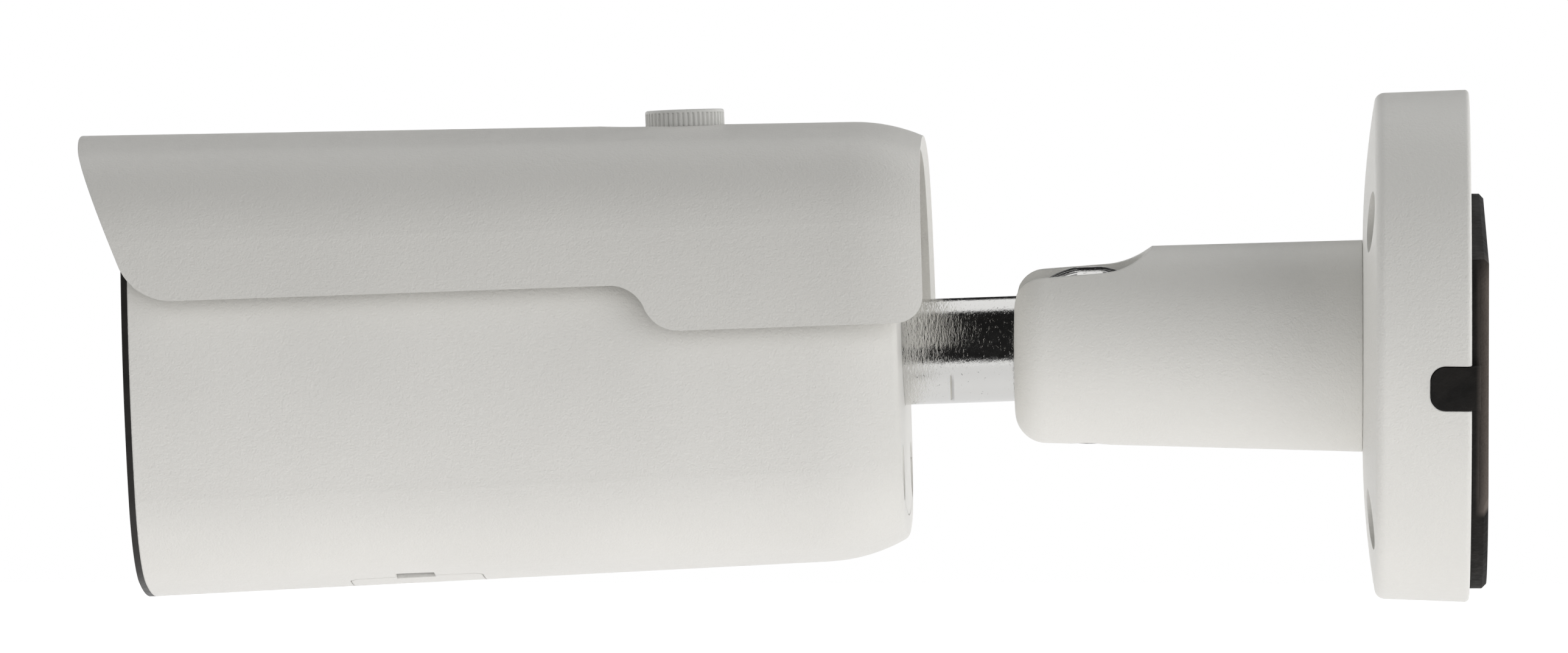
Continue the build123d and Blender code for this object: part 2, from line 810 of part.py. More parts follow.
# Infra-red board with its emitters and light sensor
ir_back = mask_back + board
with BuildPart() as ir_board:
    extrude(soft_square(head_section(mask_back), mask_half), amount=board)
    with BuildSketch(head_section(mask_back)):
        Circle(hood_hole)
    extrude(amount=board, mode=Mode.SUBTRACT)
ir_board.part.label = "ir_board"
export_step(ir_board.part, "parts/ir_board.step")

with BuildPart() as ir_emitters:
    with BuildSketch(head_section(mask_back)):
        with GridLocations(2 * emitter_reach, 2 * emitter_reach, 2, 2):
            Circle(emitter_radius)
    extrude(amount=-emitter_base - mask_thickness)
    emitter_tips = ir_emitters.faces().sort_by(head_axis)[:4]
    fillet(emitter_tips.edges(), emitter_base)
ir_emitters.part.label = "ir_emitters"
export_step(ir_emitters.part, "parts/ir_emitters.step")

with BuildPart() as light_sensor:
    with BuildSketch(head_section(mask_back)):
        with Locations((0, -light_sensor_drop)):
            Circle(light_sensor_radius)
    extrude(amount=-mask_thickness)
light_sensor.part.label = "light_sensor"
export_step(light_sensor.part, "parts/light_sensor.step")


# Lens hood, lens barrel and front lens
with BuildPart() as lens_hood:
    with BuildSketch(head_section(window_back + seat_gap)):
        Circle(hood_radius)
        Circle(hood_radius - hood_wall, mode=Mode.SUBTRACT)
    extrude(amount=lens_front + hood_overlap - window_back - seat_gap)
lens_hood.part.label = "lens_hood"
export_step(lens_hood.part, "parts/lens_hood.step")

lens_shoulder = lens_front + lens_front_length
with BuildPart() as lens_barrel:
    with BuildSketch(head_side):
        with BuildLine():
            Polyline(
                (lens_front + lens_glass_depth, 0),
                (lens_front + lens_glass_depth, lens_glass_radius + running_gap),
                (lens_front, lens_glass_radius + running_gap),
                (lens_front, lens_front_radius),
                (lens_shoulder, lens_front_radius),
                (lens_shoulder, lens_middle_radius),
                (mount_front - running_gap, lens_middle_radius),
                (mount_front - running_gap, lens_rear_radius),
                (mount_front + lens_thread, lens_rear_radius),
                (mount_front + lens_thread, 0),
                close=True,
            )
        make_face()
    revolve(axis=head_axis)
lens_barrel.part.label = "lens_barrel"
export_step(lens_barrel.part, "parts/lens_barrel.step")

with BuildPart() as lens_glass:
    with BuildSketch(head_side):
        with BuildLine():
            Polyline(
                (lens_front - lens_glass_bulge, 0),
                (lens_front + lens_glass_depth, 0),
                (lens_front + lens_glass_depth, lens_glass_radius),
                (lens_front, lens_glass_radius),
            )
            dome = (lens_glass_radius**2 + lens_glass_bulge**2) / (2 * lens_glass_bulge)
            half_rise = sqrt(dome**2 - (lens_glass_radius / 2) ** 2) - (dome - lens_glass_bulge)
            ThreePointArc(
                (lens_front, lens_glass_radius),
                (lens_front - half_rise, lens_glass_radius / 2),
                (lens_front - lens_glass_bulge, 0),
            )
        make_face()
    revolve(axis=head_axis)
lens_glass.part.label = "lens_glass"
export_step(lens_glass.part, "parts/lens_glass.step")


# Lens mount with a cross slot for the filter carriage and a pocket for the sensor
filter_middle = mount_rear - filter_slot_back - filter_thickness
mount_height = mount_top - shelf_top
with BuildPart() as lens_mount:
    with BuildSketch(head_section(mount_front)):
        with Locations((0, shelf_top + mount_height / 2)):
            Rectangle(2 * mount_half_width, mount_height)
        Circle(lens_rear_radius + running_gap, mode=Mode.SUBTRACT)
    extrude(amount=lens_thread + running_gap)
    with BuildSketch(head_section(mount_front + lens_thread + running_gap)):
        with Locations((0, shelf_top + mount_height / 2)):
            Rectangle(2 * mount_half_width, mount_height)
        Circle(filter_radius, mode=Mode.SUBTRACT)
    extrude(amount=mount_rear - mount_front - lens_thread - running_gap)
    with BuildSketch(head_section(filter_middle)):
        Rectangle(
            2 * (filter_half_length + filter_pitch / 2 + carriage_end_gap),
            2 * (filter_half_height + carriage_gap),
        )
    extrude(amount=filter_thickness / 2 + carriage_gap, both=True, mode=Mode.SUBTRACT)
    with BuildSketch(head_section(mount_rear)):
        Rectangle(2 * (sensor_half_width + swing_gap), 2 * (sensor_half_height + swing_gap))
    extrude(amount=-sensor_thickness - swing_gap, mode=Mode.SUBTRACT)
lens_mount.part.label = "lens_mount"
export_step(lens_mount.part, "parts/lens_mount.step")

with BuildPart() as filter_carriage:
    with BuildSketch(head_section(filter_middle)):
        with Locations((-filter_pitch / 2, 0)):
            Rectangle(2 * filter_half_length, 2 * filter_half_height)
            with GridLocations(filter_pitch, 0, 2, 1):
                Circle(filter_radius - seat_gap, mode=Mode.SUBTRACT)
    extrude(amount=filter_thickness / 2, both=True)
filter_carriage.part.label = "filter_carriage"
export_step(filter_carriage.part, "parts/filter_carriage.step")

with BuildPart() as filter_glasses:
    with BuildSketch(head_section(filter_middle)):
        with Locations((-filter_pitch / 2, 0)):
            with GridLocations(filter_pitch, 0, 2, 1):
                Circle(filter_radius - seat_gap - running_gap)
    extrude(amount=filter_thickness / 3, both=True)
filter_glasses.part.label = "filter_glasses"
export_step(filter_glasses.part, "parts/filter_glasses.step")


# Sensor board and image sensor
with BuildPart() as sensor_board:
    with BuildSketch(head_section(mount_rear)):
        with Locations((0, (sensor_board_top + shelf_top) / 2)):
            Rectangle(2 * sensor_board_half, sensor_board_top - shelf_top)
    extrude(amount=board)
sensor_board.part.label = "sensor_board"
export_step(sensor_board.part, "parts/sensor_board.step")

with BuildPart() as image_sensor:
    with BuildSketch(head_section(mount_rear)):
        Rectangle(2 * sensor_half_width, 2 * sensor_half_height)
    extrude(amount=-sensor_thickness)
image_sensor.part.label = "image_sensor"
export_step(image_sensor.part, "parts/image_sensor.step")


# Chassis: front ring and shelf that carry the boards
ring_back = ir_back + shelf_thickness
with BuildPart() as chassis:
    extrude(soft_square(head_section(ir_back), mask_half), amount=shelf_thickness)
    with BuildSketch(head_section(ir_back)):
        Circle(shelf_hole)
    extrude(amount=shelf_thickness, mode=Mode.SUBTRACT)
    with BuildSketch(head_level(shelf_level)):
        with Locations(((ir_back + shelf_rear) / 2, 0)):
            Rectangle(shelf_rear - ir_back, 2 * shelf_half)
    extrude(amount=shelf_thickness)
    with BuildSketch(head_section(ir_back)):
        Circle(hood_hole)
    extrude(amount=mount_front - ir_back, mode=Mode.SUBTRACT)
chassis.part.label = "chassis"
export_step(chassis.part, "parts/chassis.step")


# Main board on spacers, with its screws and processor
main_board_middle = main_board_front + main_board_length / 2
main_board_level = shelf_top + spacer_height
main_board_half = shelf_half - main_board_inset
screw_step_along = main_board_length - 2 * board_inset
screw_step_across = 2 * (main_board_half - board_inset)
with BuildPart() as board_spacers:
    with BuildSketch(head_level(shelf_top)):
        with Locations((main_board_middle, 0)):
            with GridLocations(screw_step_along, screw_step_across, 2, 2):
                Circle(spacer_radius)
                Circle(board_screw_radius + running_gap, mode=Mode.SUBTRACT)
    extrude(amount=spacer_height)
board_spacers.part.label = "board_spacers"
export_step(board_spacers.part, "parts/board_spacers.step")

with BuildPart() as main_board:
    with BuildSketch(head_level(main_board_level)):
        with Locations((main_board_middle, 0)):
            Rectangle(main_board_length, 2 * main_board_half)
            with GridLocations(screw_step_along, screw_step_across, 2, 2):
                Circle(board_screw_radius + running_gap, mode=Mode.SUBTRACT)
    extrude(amount=board)
main_board.part.label = "main_board"
export_step(main_board.part, "parts/main_board.step")

with BuildPart() as board_screws:
    with BuildSketch(head_level(main_board_level + board)):
        with Locations((main_board_middle, 0)):
            with GridLocations(screw_step_along, screw_step_across, 2, 2):
                Circle(spacer_radius)
    extrude(amount=board_screw_head)
    with BuildSketch(head_level(main_board_level + board)):
        with Locations((main_board_middle, 0)):
            with GridLocations(screw_step_along, screw_step_across, 2, 2):
                Circle(board_screw_radius)
    extrude(amount=-board - spacer_height)
board_screws.part.label = "board_screws"
export_step(board_screws.part, "parts/board_screws.step")

with BuildPart() as processor:
    with BuildSketch(head_level(main_board_level + board)):
        with Locations((main_board_middle, 0)):
            Rectangle(2 * chip_half, 2 * chip_half)
    extrude(amount=chip_thickness)
processor.part.label = "processor"
export_step(processor.part, "parts/processor.step")


# Card board hung under the shelf, with its posts, card socket, reset switch and button
card_board_level = access_inner + card_board_rise
card_bottom = card_board_level - board
with BuildPart() as card_board:
    with BuildSketch(head_level(card_bottom)):
        with Locations((access_middle, 0)):
            Rectangle(card_board_length, 2 * card_board_half)
    extrude(amount=board)
card_board.part.label = "card_board"
export_step(card_board.part, "parts/card_board.step")

with BuildPart() as card_board_posts:
    with BuildSketch(head_level(card_board_level)):
        with Locations((access_middle, 0)):
            with GridLocations(
                card_board_length - 2 * board_inset, 2 * (card_board_half - board_inset), 2, 2
            ):
                Circle(card_post_radius)
    extrude(amount=shelf_level - card_board_level)
card_board_posts.part.label = "card_board_posts"
export_step(card_board_posts.part, "parts/card_board_posts.step")

with BuildPart() as card_socket:
    with BuildSketch(head_level(card_bottom)):
        with Locations((access_middle, 0)):
            Rectangle(socket_length, 2 * socket_half)
    extrude(amount=-socket_height)
card_socket.part.label = "card_socket"
export_step(card_socket.part, "parts/card_socket.step")

with BuildPart() as reset_switch:
    with BuildSketch(head_level(card_bottom)):
        with Locations((access_middle, switch_across)):
            Rectangle(2 * switch_half, 2 * switch_half)
            Circle(button_radius + running_gap, mode=Mode.SUBTRACT)
    extrude(amount=-switch_height)
reset_switch.part.label = "reset_switch"
export_step(reset_switch.part, "parts/reset_switch.step")

with BuildPart() as reset_button:
    with BuildSketch(head_level(card_bottom - button_travel - seat_gap)):
        with Locations((access_middle, switch_across)):
            Circle(button_radius)
    extrude(amount=-button_height)
reset_button.part.label = "reset_button"
export_step(reset_button.part, "parts/reset_button.step")


# Access cover, flush with the housing's underside, with its seal and screws
access_screw_top = access_surface + access_screw_sink + access_screw_head_height
with BuildPart() as access_cover:
    with BuildSketch(head_level(access_inner)):
        with Locations((access_middle, 0)):
            RectangleRounded(access_length, 2 * access_half, access_corner)
            with GridLocations(access_length - access_ledge, 0, 2, 1):
                Circle(access_screw_radius + running_gap, mode=Mode.SUBTRACT)
    extrude(amount=-housing_half / 2)
    add(housing_outside, mode=Mode.INTERSECT)
    with BuildSketch(head_level(access_screw_top)):
        with Locations((access_middle, 0)):
            with GridLocations(access_length - access_ledge, 0, 2, 1):
                Circle(access_screw_head + running_gap)
    extrude(amount=-housing_half / 2, mode=Mode.SUBTRACT)
    with BuildSketch(head_level(access_inner)):
        with Locations((access_middle, -access_half)):
            Rectangle(pry_length, 2 * pry_depth)
    extrude(amount=-housing_half / 2, mode=Mode.SUBTRACT)
access_cover.part.label = "access_cover"
export_step(access_cover.part, "parts/access_cover.step")

with BuildPart() as access_cover_seal:
    with BuildSketch(head_level(access_inner)):
        with Locations((access_middle, 0)):
            RectangleRounded(access_length, 2 * access_half, access_corner)
            Rectangle(
                access_length - 2 * access_ledge + 2 * seat_gap,
                2 * (access_half - access_ledge + seat_gap),
                mode=Mode.SUBTRACT,
            )
            with GridLocations(access_length - access_ledge, 0, 2, 1):
                Circle(access_screw_radius + running_gap, mode=Mode.SUBTRACT)
    extrude(amount=access_seal)
access_cover_seal.part.label = "access_cover_seal"
export_step(access_cover_seal.part, "parts/access_cover_seal.step")

with BuildPart() as access_cover_screws:
    with BuildSketch(head_level(access_screw_top)):
        with Locations((access_middle, 0)):
            with GridLocations(access_length - access_ledge, 0, 2, 1):
                Circle(access_screw_head)
    extrude(amount=-access_screw_head_height)
    with BuildSketch(head_level(access_screw_top)):
        with Locations((access_middle, 0)):
            with GridLocations(access_length - access_ledge, 0, 2, 1):
                Circle(access_screw_radius)
    extrude(amount=access_pad_top - access_screw_top)
access_cover_screws.part.label = "access_cover_screws"
export_step(access_cover_screws.part, "parts/access_cover_screws.step")


# Sun visor: bent sheet trimmed to its side outline and square to the sheet at the rear,
# with the thumbscrew's slot in a shallow recess
lean = tan(radians(visor_lean))
step_half_run = (visor_front_edge - visor_rear_edge) / 2 / tan(radians(visor_step_slope))
visor_above = visor_stock * visor_half
visor_start = visor_front - (visor_above - visor_half) * lean
visor_corners = [
    (visor_front + (visor_half - visor_front_edge) * lean, visor_front_edge),
    (visor_step_middle - step_half_run, visor_front_edge),
    (visor_step_middle + step_half_run, visor_rear_edge),
    (visor_rear, visor_rear_edge),
]
visor_roundings = [visor_front_corner, visor_step_corner, visor_step_corner, visor_rear_corner]
recess_floor = visor_crown - thumb_sink
slot_middle = thumb_place - visor_travel / 2
visor_outside = head_body(visor_half_at, visor_start, visor_bend, visor_rear, 0)
visor_inside = head_body(visor_half_at, visor_start, visor_bend, visor_rear, visor_sheet)
past_bend = visor_rear - visor_bend
end_slope = past_bend / sqrt(rear_round**2 - past_bend**2)
end_half = visor_half_at(visor_rear) - visor_end_edge
with BuildPart() as visor_end:
    loft(
        [
            soft_square(head_section(visor_rear + cut_past * end_slope), end_half + cut_past),
            soft_square(head_section(visor_rear - visor_sheet * end_slope), end_half - visor_sheet),
        ],
        ruled=True,
    )
with BuildPart() as sun_visor:
    add(visor_outside)
    add(visor_inside, mode=Mode.SUBTRACT)
    with BuildSketch(head_side) as visor_outline:
        with BuildLine():
            Polyline((visor_start, visor_above), *visor_corners, (visor_rear, visor_above), close=True)
        make_face()
        for corner, rounding in zip(visor_corners, visor_roundings):
            fillet(visor_outline.vertices().sort_by_distance(corner)[0], rounding)
    extrude(amount=2 * visor_half, both=True, mode=Mode.INTERSECT)
    add(visor_end.part, mode=Mode.SUBTRACT)
    with BuildSketch(head_level(recess_floor)):
        with Locations((slot_middle, 0)):
            SlotCenterToCenter(visor_travel, 2 * (thumb_radius + swing_gap))
    extrude(amount=visor_above, mode=Mode.SUBTRACT)
    with BuildSketch(head_level(visor_half / 2)):
        with Locations((slot_middle, 0)):
            SlotCenterToCenter(visor_travel, 2 * (thumb_shank + swing_gap))
    extrude(amount=visor_half, mode=Mode.SUBTRACT)
sun_visor.part.label = "sun_visor"
export_step(sun_visor.part, "parts/sun_visor.step")


# Thumbscrew: fluted knob on a shank that clamps the visor to the housing's boss
thumb_bottom = recess_floor + seat_gap
thumb_top = visor_crown + thumb_show
with BuildPart() as thumbscrew:
    with BuildSketch(head_level(thumb_bottom)):
        with Locations((thumb_place, 0)):
            Circle(thumb_radius)
            with PolarLocations(thumb_radius, thumb_flutes):
                RegularPolygon(thumb_flute, 4, mode=Mode.SUBTRACT)
    extrude(amount=thumb_top - thumb_bottom - thumb_rim)
    with BuildSketch(head_level(thumb_top - thumb_rim)):
        with Locations((thumb_place, 0)):
            Circle(thumb_radius)
    extrude(amount=thumb_rim)
    knob_rim = thumbscrew.faces().sort_by(Axis(head_point(0, 0), head_up))[-1]
    fillet(knob_rim.edges(), thumb_rounding)
    with BuildSketch(head_level(thumb_bottom)):
        with Locations((thumb_place, 0)):
            Circle(thumb_shank)
    extrude(amount=thumb_boss_top - thumb_depth + seat_gap - thumb_bottom)
thumbscrew.part.label = "thumbscrew"
export_step(thumbscrew.part, "parts/thumbscrew.step")
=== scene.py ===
from math import cos, pi, radians, sin

import bmesh
import bpy
from mathutils import Matrix, Vector


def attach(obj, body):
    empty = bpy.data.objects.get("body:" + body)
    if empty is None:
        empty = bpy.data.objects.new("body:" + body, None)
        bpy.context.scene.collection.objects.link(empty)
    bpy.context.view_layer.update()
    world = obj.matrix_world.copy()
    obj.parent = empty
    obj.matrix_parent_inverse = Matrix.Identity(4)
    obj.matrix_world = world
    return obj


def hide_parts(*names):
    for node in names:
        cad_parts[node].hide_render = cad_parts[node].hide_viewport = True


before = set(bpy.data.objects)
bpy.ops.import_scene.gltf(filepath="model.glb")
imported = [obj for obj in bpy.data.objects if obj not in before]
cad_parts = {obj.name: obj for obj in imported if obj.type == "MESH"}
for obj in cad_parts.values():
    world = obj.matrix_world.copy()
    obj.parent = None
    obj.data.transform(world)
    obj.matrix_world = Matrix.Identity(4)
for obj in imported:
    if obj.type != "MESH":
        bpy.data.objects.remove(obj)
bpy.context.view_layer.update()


# Wall gasket
# Soft black foam rubber between base and wall, moulded flat with rounded edges.
# Its near side is painted from black to a lighter brown towards the back edge: painted highlight for light
# caught on that rounded edge.
# A straight cut above leaves the cable pocket open, and a tab fills the base's notch.
def finish(name, colour, roughness, **sockets):
    """Material with one shader; sockets are named with underscores for spaces."""
    material = bpy.data.materials.new(name)
    material.use_nodes = True
    tree = material.node_tree
    shader = tree.nodes["Principled BSDF"]
    shader.inputs["Base Color"].default_value = (*colour, 1)
    shader.inputs["Roughness"].default_value = roughness
    for socket, value in sockets.items():
        shader.inputs[socket.replace("_", " ")].default_value = value
    return material, tree, shader


def grain(tree, scale, stretch=(1, 1, 1), detail=3.0):
    """Noise on the piece's own coordinates, scale in waves per metre."""
    place = tree.nodes.new("ShaderNodeTexCoord")
    mapping = tree.nodes.new("ShaderNodeMapping")
    mapping.inputs["Scale"].default_value = stretch
    noise = tree.nodes.new("ShaderNodeTexNoise")
    noise.inputs["Scale"].default_value = scale
    noise.inputs["Detail"].default_value = detail
    tree.links.new(place.outputs["Object"], mapping.inputs["Vector"])
    tree.links.new(mapping.outputs["Vector"], noise.inputs["Vector"])
    return noise.outputs["Fac"]


def spread(tree, source, low, high, start=0.3, end=0.7):
    """A grain value mapped to a range of values."""
    node = tree.nodes.new("ShaderNodeMapRange")
    node.inputs["From Min"].default_value = start
    node.inputs["From Max"].default_value = end
    node.inputs["To Min"].default_value = low
    node.inputs["To Max"].default_value = high
    tree.links.new(source, node.inputs["Value"])
    return node.outputs["Result"]


def tint(tree, shader, source, colours):
    """Base colour that varies between two colours with a grain value."""
    node = tree.nodes.new("ShaderNodeMix")
    node.data_type = "RGBA"
    node.inputs["A"].default_value = (*colours[0], 1)
    node.inputs["B"].default_value = (*colours[1], 1)
    tree.links.new(source, node.inputs["Factor"])
    tree.links.new(node.outputs["Result"], shader.inputs["Base Color"])


def mottle(tree, shader, colours, scale, **sizes):
    """Base colour in soft patches of two colours."""
    tint(tree, shader, spread(tree, grain(tree, scale, **sizes), 0, 1), colours)


def uneven_gloss(tree, shader, low, high, scale, **sizes):
    """Roughness in soft patches between two values."""
    tree.links.new(spread(tree, grain(tree, scale, **sizes), low, high), shader.inputs["Roughness"])


def relief(tree, shader, layers, edge=0.0):
    """Chain of bumps, each (height source, depth in metres), on edges eased by a small radius."""
    normal = None
    if edge:
        eased = tree.nodes.new("ShaderNodeBevel")
        eased.samples = 6
        eased.inputs["Radius"].default_value = edge
        normal = eased.outputs["Normal"]
    for source, depth in layers:
        bump = tree.nodes.new("ShaderNodeBump")
        bump.inputs["Strength"].default_value = 1.0
        bump.inputs["Distance"].default_value = depth
        tree.links.new(source, bump.inputs["Height"])
        if normal:
            tree.links.new(normal, bump.inputs["Normal"])
        normal = bump.outputs["Normal"]
    tree.links.new(normal, shader.inputs["Normal"])


def place_along(tree, axis, low, high, start, end):
    """Value that runs from low to high between two places along one axis of the frame."""
    place = tree.nodes.new("ShaderNodeTexCoord")
    apart = tree.nodes.new("ShaderNodeSeparateXYZ")
    tree.links.new(place.outputs["Object"], apart.inputs[0])
    return spread(tree, apart.outputs[axis], low, high, start, end)


def combine(tree, operation, first, second):
    """Sum, product or other operation of two values."""
    node = tree.nodes.new("ShaderNodeMath")
    node.operation = operation
    for socket, value in zip(node.inputs, (first, second)):
        if isinstance(value, (int, float)):
            socket.default_value = value
        else:
            tree.links.new(value, socket)
    return node.outputs[0]


def dress(material, *nodes):
    """Gives CAD nodes a material."""
    for node in nodes:
        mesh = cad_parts[node].data
        mesh.materials.clear()
        mesh.materials.append(material)


def keep(piece, body, slot, *nodes):
    """Puts a finished piece on its body and in the place of CAD nodes; its slot is not used."""
    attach(piece, body)
    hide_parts(*nodes)


def eased_copy(name, node, width, material):
    """Copy of a CAD node with its edges rounded, as rubber leaves a mould."""
    shape = bmesh.new()
    shape.from_mesh(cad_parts[node].data)
    bmesh.ops.remove_doubles(shape, verts=shape.verts, dist=1e-6)
    bmesh.ops.dissolve_limit(shape, angle_limit=radians(1.5), verts=shape.verts, edges=shape.edges)
    mesh = bpy.data.meshes.new(name)
    shape.to_mesh(mesh)
    shape.free()
    mesh.shade_smooth()
    mesh.materials.append(material)
    piece = bpy.data.objects.new(name, mesh)
    bpy.context.scene.collection.objects.link(piece)
    rounding = piece.modifiers.new("rounding", "BEVEL")
    rounding.width = width
    rounding.segments = 3
    rounding.limit_method = "ANGLE"
    rounding.angle_limit = radians(40)
    rounding.harden_normals = True
    return piece


gasket_black, tree, shader = finish("gasket_black", (0.022, 0.021, 0.02), 0.75, Specular_IOR_Level=0.2)
painted_highlight_start, painted_highlight_end = -0.0023, -0.0003
side_start, side_end = -0.0315, -0.0305
cut_start, cut_end = 0.0105, 0.0165
# Painted highlight: the near side's colour runs from black to light brown towards the back edge, standing for
# light caught on the rounded edge.
foam_painted_highlight = place_along(tree, "X", 0, 0.85, painted_highlight_start, painted_highlight_end)
foam_painted_highlight = combine(tree, "MULTIPLY", foam_painted_highlight, place_along(tree, "Y", 1, 0, side_start, side_end))
foam_painted_highlight = combine(tree, "MULTIPLY", foam_painted_highlight, place_along(tree, "Z", 1, 0, cut_start, cut_end))
foam_painted_highlight = combine(tree, "ADD", foam_painted_highlight, spread(tree, grain(tree, 240), 0, 0.05))
tint(tree, shader, foam_painted_highlight, ((0.010, 0.0095, 0.0088), (0.175, 0.148, 0.129)))
uneven_gloss(tree, shader, 0.66, 0.85, 900)
relief(tree, shader, [(grain(tree, 2600), 0.00010), (grain(tree, 500), 0.00025)])
gasket_pad = eased_copy("gasket_pad", "wall_gasket", 0.0004, gasket_black)
keep(gasket_pad, "base", "gasket_rubber", "wall_gasket")


# Base plate
# Aluminium casting, domed and hollow behind, with four sunk screw holes and a notch for the cable.
# Its off-white powder coat has a fine orange-peel skin.
def powder_coat(name, colour, edge=0.0004):
    """Off-white powder coat: orange peel, fine grain and faint clouding."""
    material, tree, shader = finish(name, colour, 0.42, Specular_IOR_Level=0.5)
    darker = tuple(channel * 0.97 for channel in colour)
    lighter = tuple(channel * 1.02 for channel in colour)
    mottle(tree, shader, (darker, lighter), 26, detail=5)
    uneven_gloss(tree, shader, 0.36, 0.48, 700)
    orange_peel = grain(tree, 1250, detail=2)
    fine_grain = grain(tree, 2900, detail=2)
    relief(tree, shader, [(orange_peel, 0.00007), (fine_grain, 0.000085)], edge=edge)
    return material


bracket_paint = powder_coat("bracket_paint", (0.816, 0.807, 0.772))
dress(bracket_paint, "base_plate")


# Friction washer and sleeve nut
# A nylon washer and a plated ring nut behind the base hold the sleeve, so that it turns stiffly.
nylon, tree, shader = finish("nylon", (0.72, 0.70, 0.64), 0.5, Subsurface_Weight=0.1)
mottle(tree, shader, ((0.68, 0.66, 0.60), (0.75, 0.73, 0.68)), 180)
relief(tree, shader, [(grain(tree, 1500), 0.00006)])
dress(nylon, "friction_washer")

plated_steel, tree, shader = finish("plated_steel", (0.62, 0.61, 0.59), 0.3, Metallic=1.0)
mottle(tree, shader, ((0.56, 0.56, 0.55), (0.67, 0.66, 0.63)), 300)
uneven_gloss(tree, shader, 0.22, 0.42, 700)
relief(tree, shader, [(grain(tree, 1800, stretch=(1, 1, 6)), 0.00004)])
dress(plated_steel, "sleeve_nut")


# Pan sleeve
# Conical casting that turns on the base, coated like it.
# Its socket is slotted open above, so that the arm can swing upright.
dress(bracket_paint, "pan_sleeve")


# Ball retainer and lock screw
# A nylon ring seats the ball from behind, and a socket screw under the sleeve clamps it.
dress(nylon, "ball_retainer")
dress(plated_steel, "lock_screw")


# Ball arm
# Zinc casting, a round arm with a belted ball, chromium plated over a slightly rough skin.
# The skin's fine ridges run round the arm, the ball is turned, and a mould mark shows on one side.
def rings_round(tree, centre, pitch):
    """Turned grooves round the tilt axis through a centre: 0 on the ridges, 1 in the grooves."""
    place = tree.nodes.new("ShaderNodeTexCoord")
    across = tree.nodes.new("ShaderNodeVectorMath")
    across.operation = "MULTIPLY_ADD"
    across.inputs[1].default_value = (1, 0, 1)
    across.inputs[2].default_value = (-centre, 0, 0)
    radius = tree.nodes.new("ShaderNodeVectorMath")
    radius.operation = "LENGTH"
    tree.links.new(place.outputs["Object"], across.inputs[0])
    tree.links.new(across.outputs[0], radius.inputs[0])
    turns = combine(tree, "MULTIPLY", radius.outputs["Value"], 2 * pi / pitch)
    return spread(tree, combine(tree, "SINE", turns, 0), 0, 1, 0, 0.6)


arm_chrome, tree, shader = finish("arm_chrome", (0.72, 0.715, 0.70), 0.1, Metallic=1.0)
mark_start, mark_low, mark_high = -0.0939, -0.0099, -0.0048
mark_across = combine(
    tree,
    "MULTIPLY",
    place_along(tree, "X", 0, 1, mark_start, mark_start + 0.0003),
    place_along(tree, "X", 1, 0, mark_start + 0.0005, mark_start + 0.0008),
)
mark_length = combine(
    tree,
    "MULTIPLY",
    place_along(tree, "Z", 0, 1, mark_low, mark_low + 0.0006),
    place_along(tree, "Z", 1, 0, mark_high - 0.0016, mark_high),
)
mould_mark = combine(tree, "MULTIPLY", mark_across, mark_length)
mould_mark = combine(tree, "MULTIPLY", mould_mark, place_along(tree, "Y", 1, 0, -0.001, 0.0))
pits = spread(tree, grain(tree, 1500, detail=2), 0, 0.55, 0.70, 0.74)
dark = combine(tree, "MAXIMUM", combine(tree, "MULTIPLY", mould_mark, 0.35), pits)

ball_middle = -0.0694
ball_start = ball_middle - 0.0105
belt_half, belt_edge = 0.0022, 0.0002
ring_pitch = 0.00042
on_ball = place_along(tree, "X", 0, 1, ball_start, ball_start + 0.0005)
rings_with_painted_shade = combine(tree, "MULTIPLY", rings_round(tree, ball_middle, ring_pitch), on_ball)
off_belt = combine(
    tree,
    "MAXIMUM",
    place_along(tree, "X", 1, 0, ball_middle - belt_half - belt_edge, ball_middle - belt_half),
    place_along(tree, "X", 0, 1, ball_middle + belt_half, ball_middle + belt_half + belt_edge),
)
rings_with_painted_shade = combine(tree, "MULTIPLY", rings_with_painted_shade, off_belt)
# Painted shade: the turned grooves are darkened in the base colour.
dark = combine(tree, "MAXIMUM", dark, combine(tree, "MULTIPLY", rings_with_painted_shade, 0.8))
tint(tree, shader, dark, ((0.74, 0.735, 0.72), (0.12, 0.115, 0.11)))
uneven_gloss(tree, shader, 0.05, 0.16, 900, detail=4)

neck_start, neck_end = -0.1025, -0.0915
neck = place_along(tree, "X", 1, 0, neck_start, neck_end)
neck = combine(tree, "MULTIPLY", combine(tree, "POWER", neck, 2.0), -1)
rough_end = place_along(tree, "X", 1.0, 0.42, -0.097, -0.088)
rough_end = combine(tree, "MULTIPLY", rough_end, place_along(tree, "Z", 0.4, 1, -0.006, -0.002))
wrinkles = combine(tree, "MULTIPLY", grain(tree, 900, stretch=(3.4, 0.9, 0.9), detail=3), rough_end)
flecks = spread(tree, grain(tree, 1500, stretch=(2.2, 0.9, 0.9), detail=2), 0, 1, 0.62, 0.74)
relief(
    tree,
    shader,
    [
        (neck, 0.00045),
        (wrinkles, 0.00008),
        (flecks, 0.000016),
        (grain(tree, 2300, stretch=(1.5, 1, 1), detail=3), 0.000014),
        (grain(tree, 5200, stretch=(1.3, 0.8, 0.8), detail=2), 0.000012),
        (mould_mark, 0.00018),
        (rings_with_painted_shade, -0.00006),
    ],
)
dress(arm_chrome, "ball_arm")


# Rear cover, with the arm's nut and seals
# A coated plate closes the housing's back on a rubber seal, and the arm passes through it to a nut.
shell_paint = powder_coat("shell_paint", (0.788, 0.778, 0.745))
dress(shell_paint, "rear_cover")
dress(plated_steel, "arm_nut")
seal_rubber, tree, shader = finish("seal_rubber", (0.02, 0.02, 0.02), 0.6)
mottle(tree, shader, ((0.015, 0.015, 0.015), (0.03, 0.03, 0.03)), 300)
relief(tree, shader, [(grain(tree, 1800), 0.00006)])
dress(seal_rubber, "arm_seal", "rear_cover_seal")


def add(tree, kind, **values):
    """Adds a node; each value is a number or another node's output."""
    node = tree.nodes.new(kind)
    for name, value in values.items():
        socket = node.inputs[name.replace("_", " ")]
        if isinstance(value, bpy.types.NodeSocket):
            tree.links.new(value, socket)
        else:
            socket.default_value = value
    return node


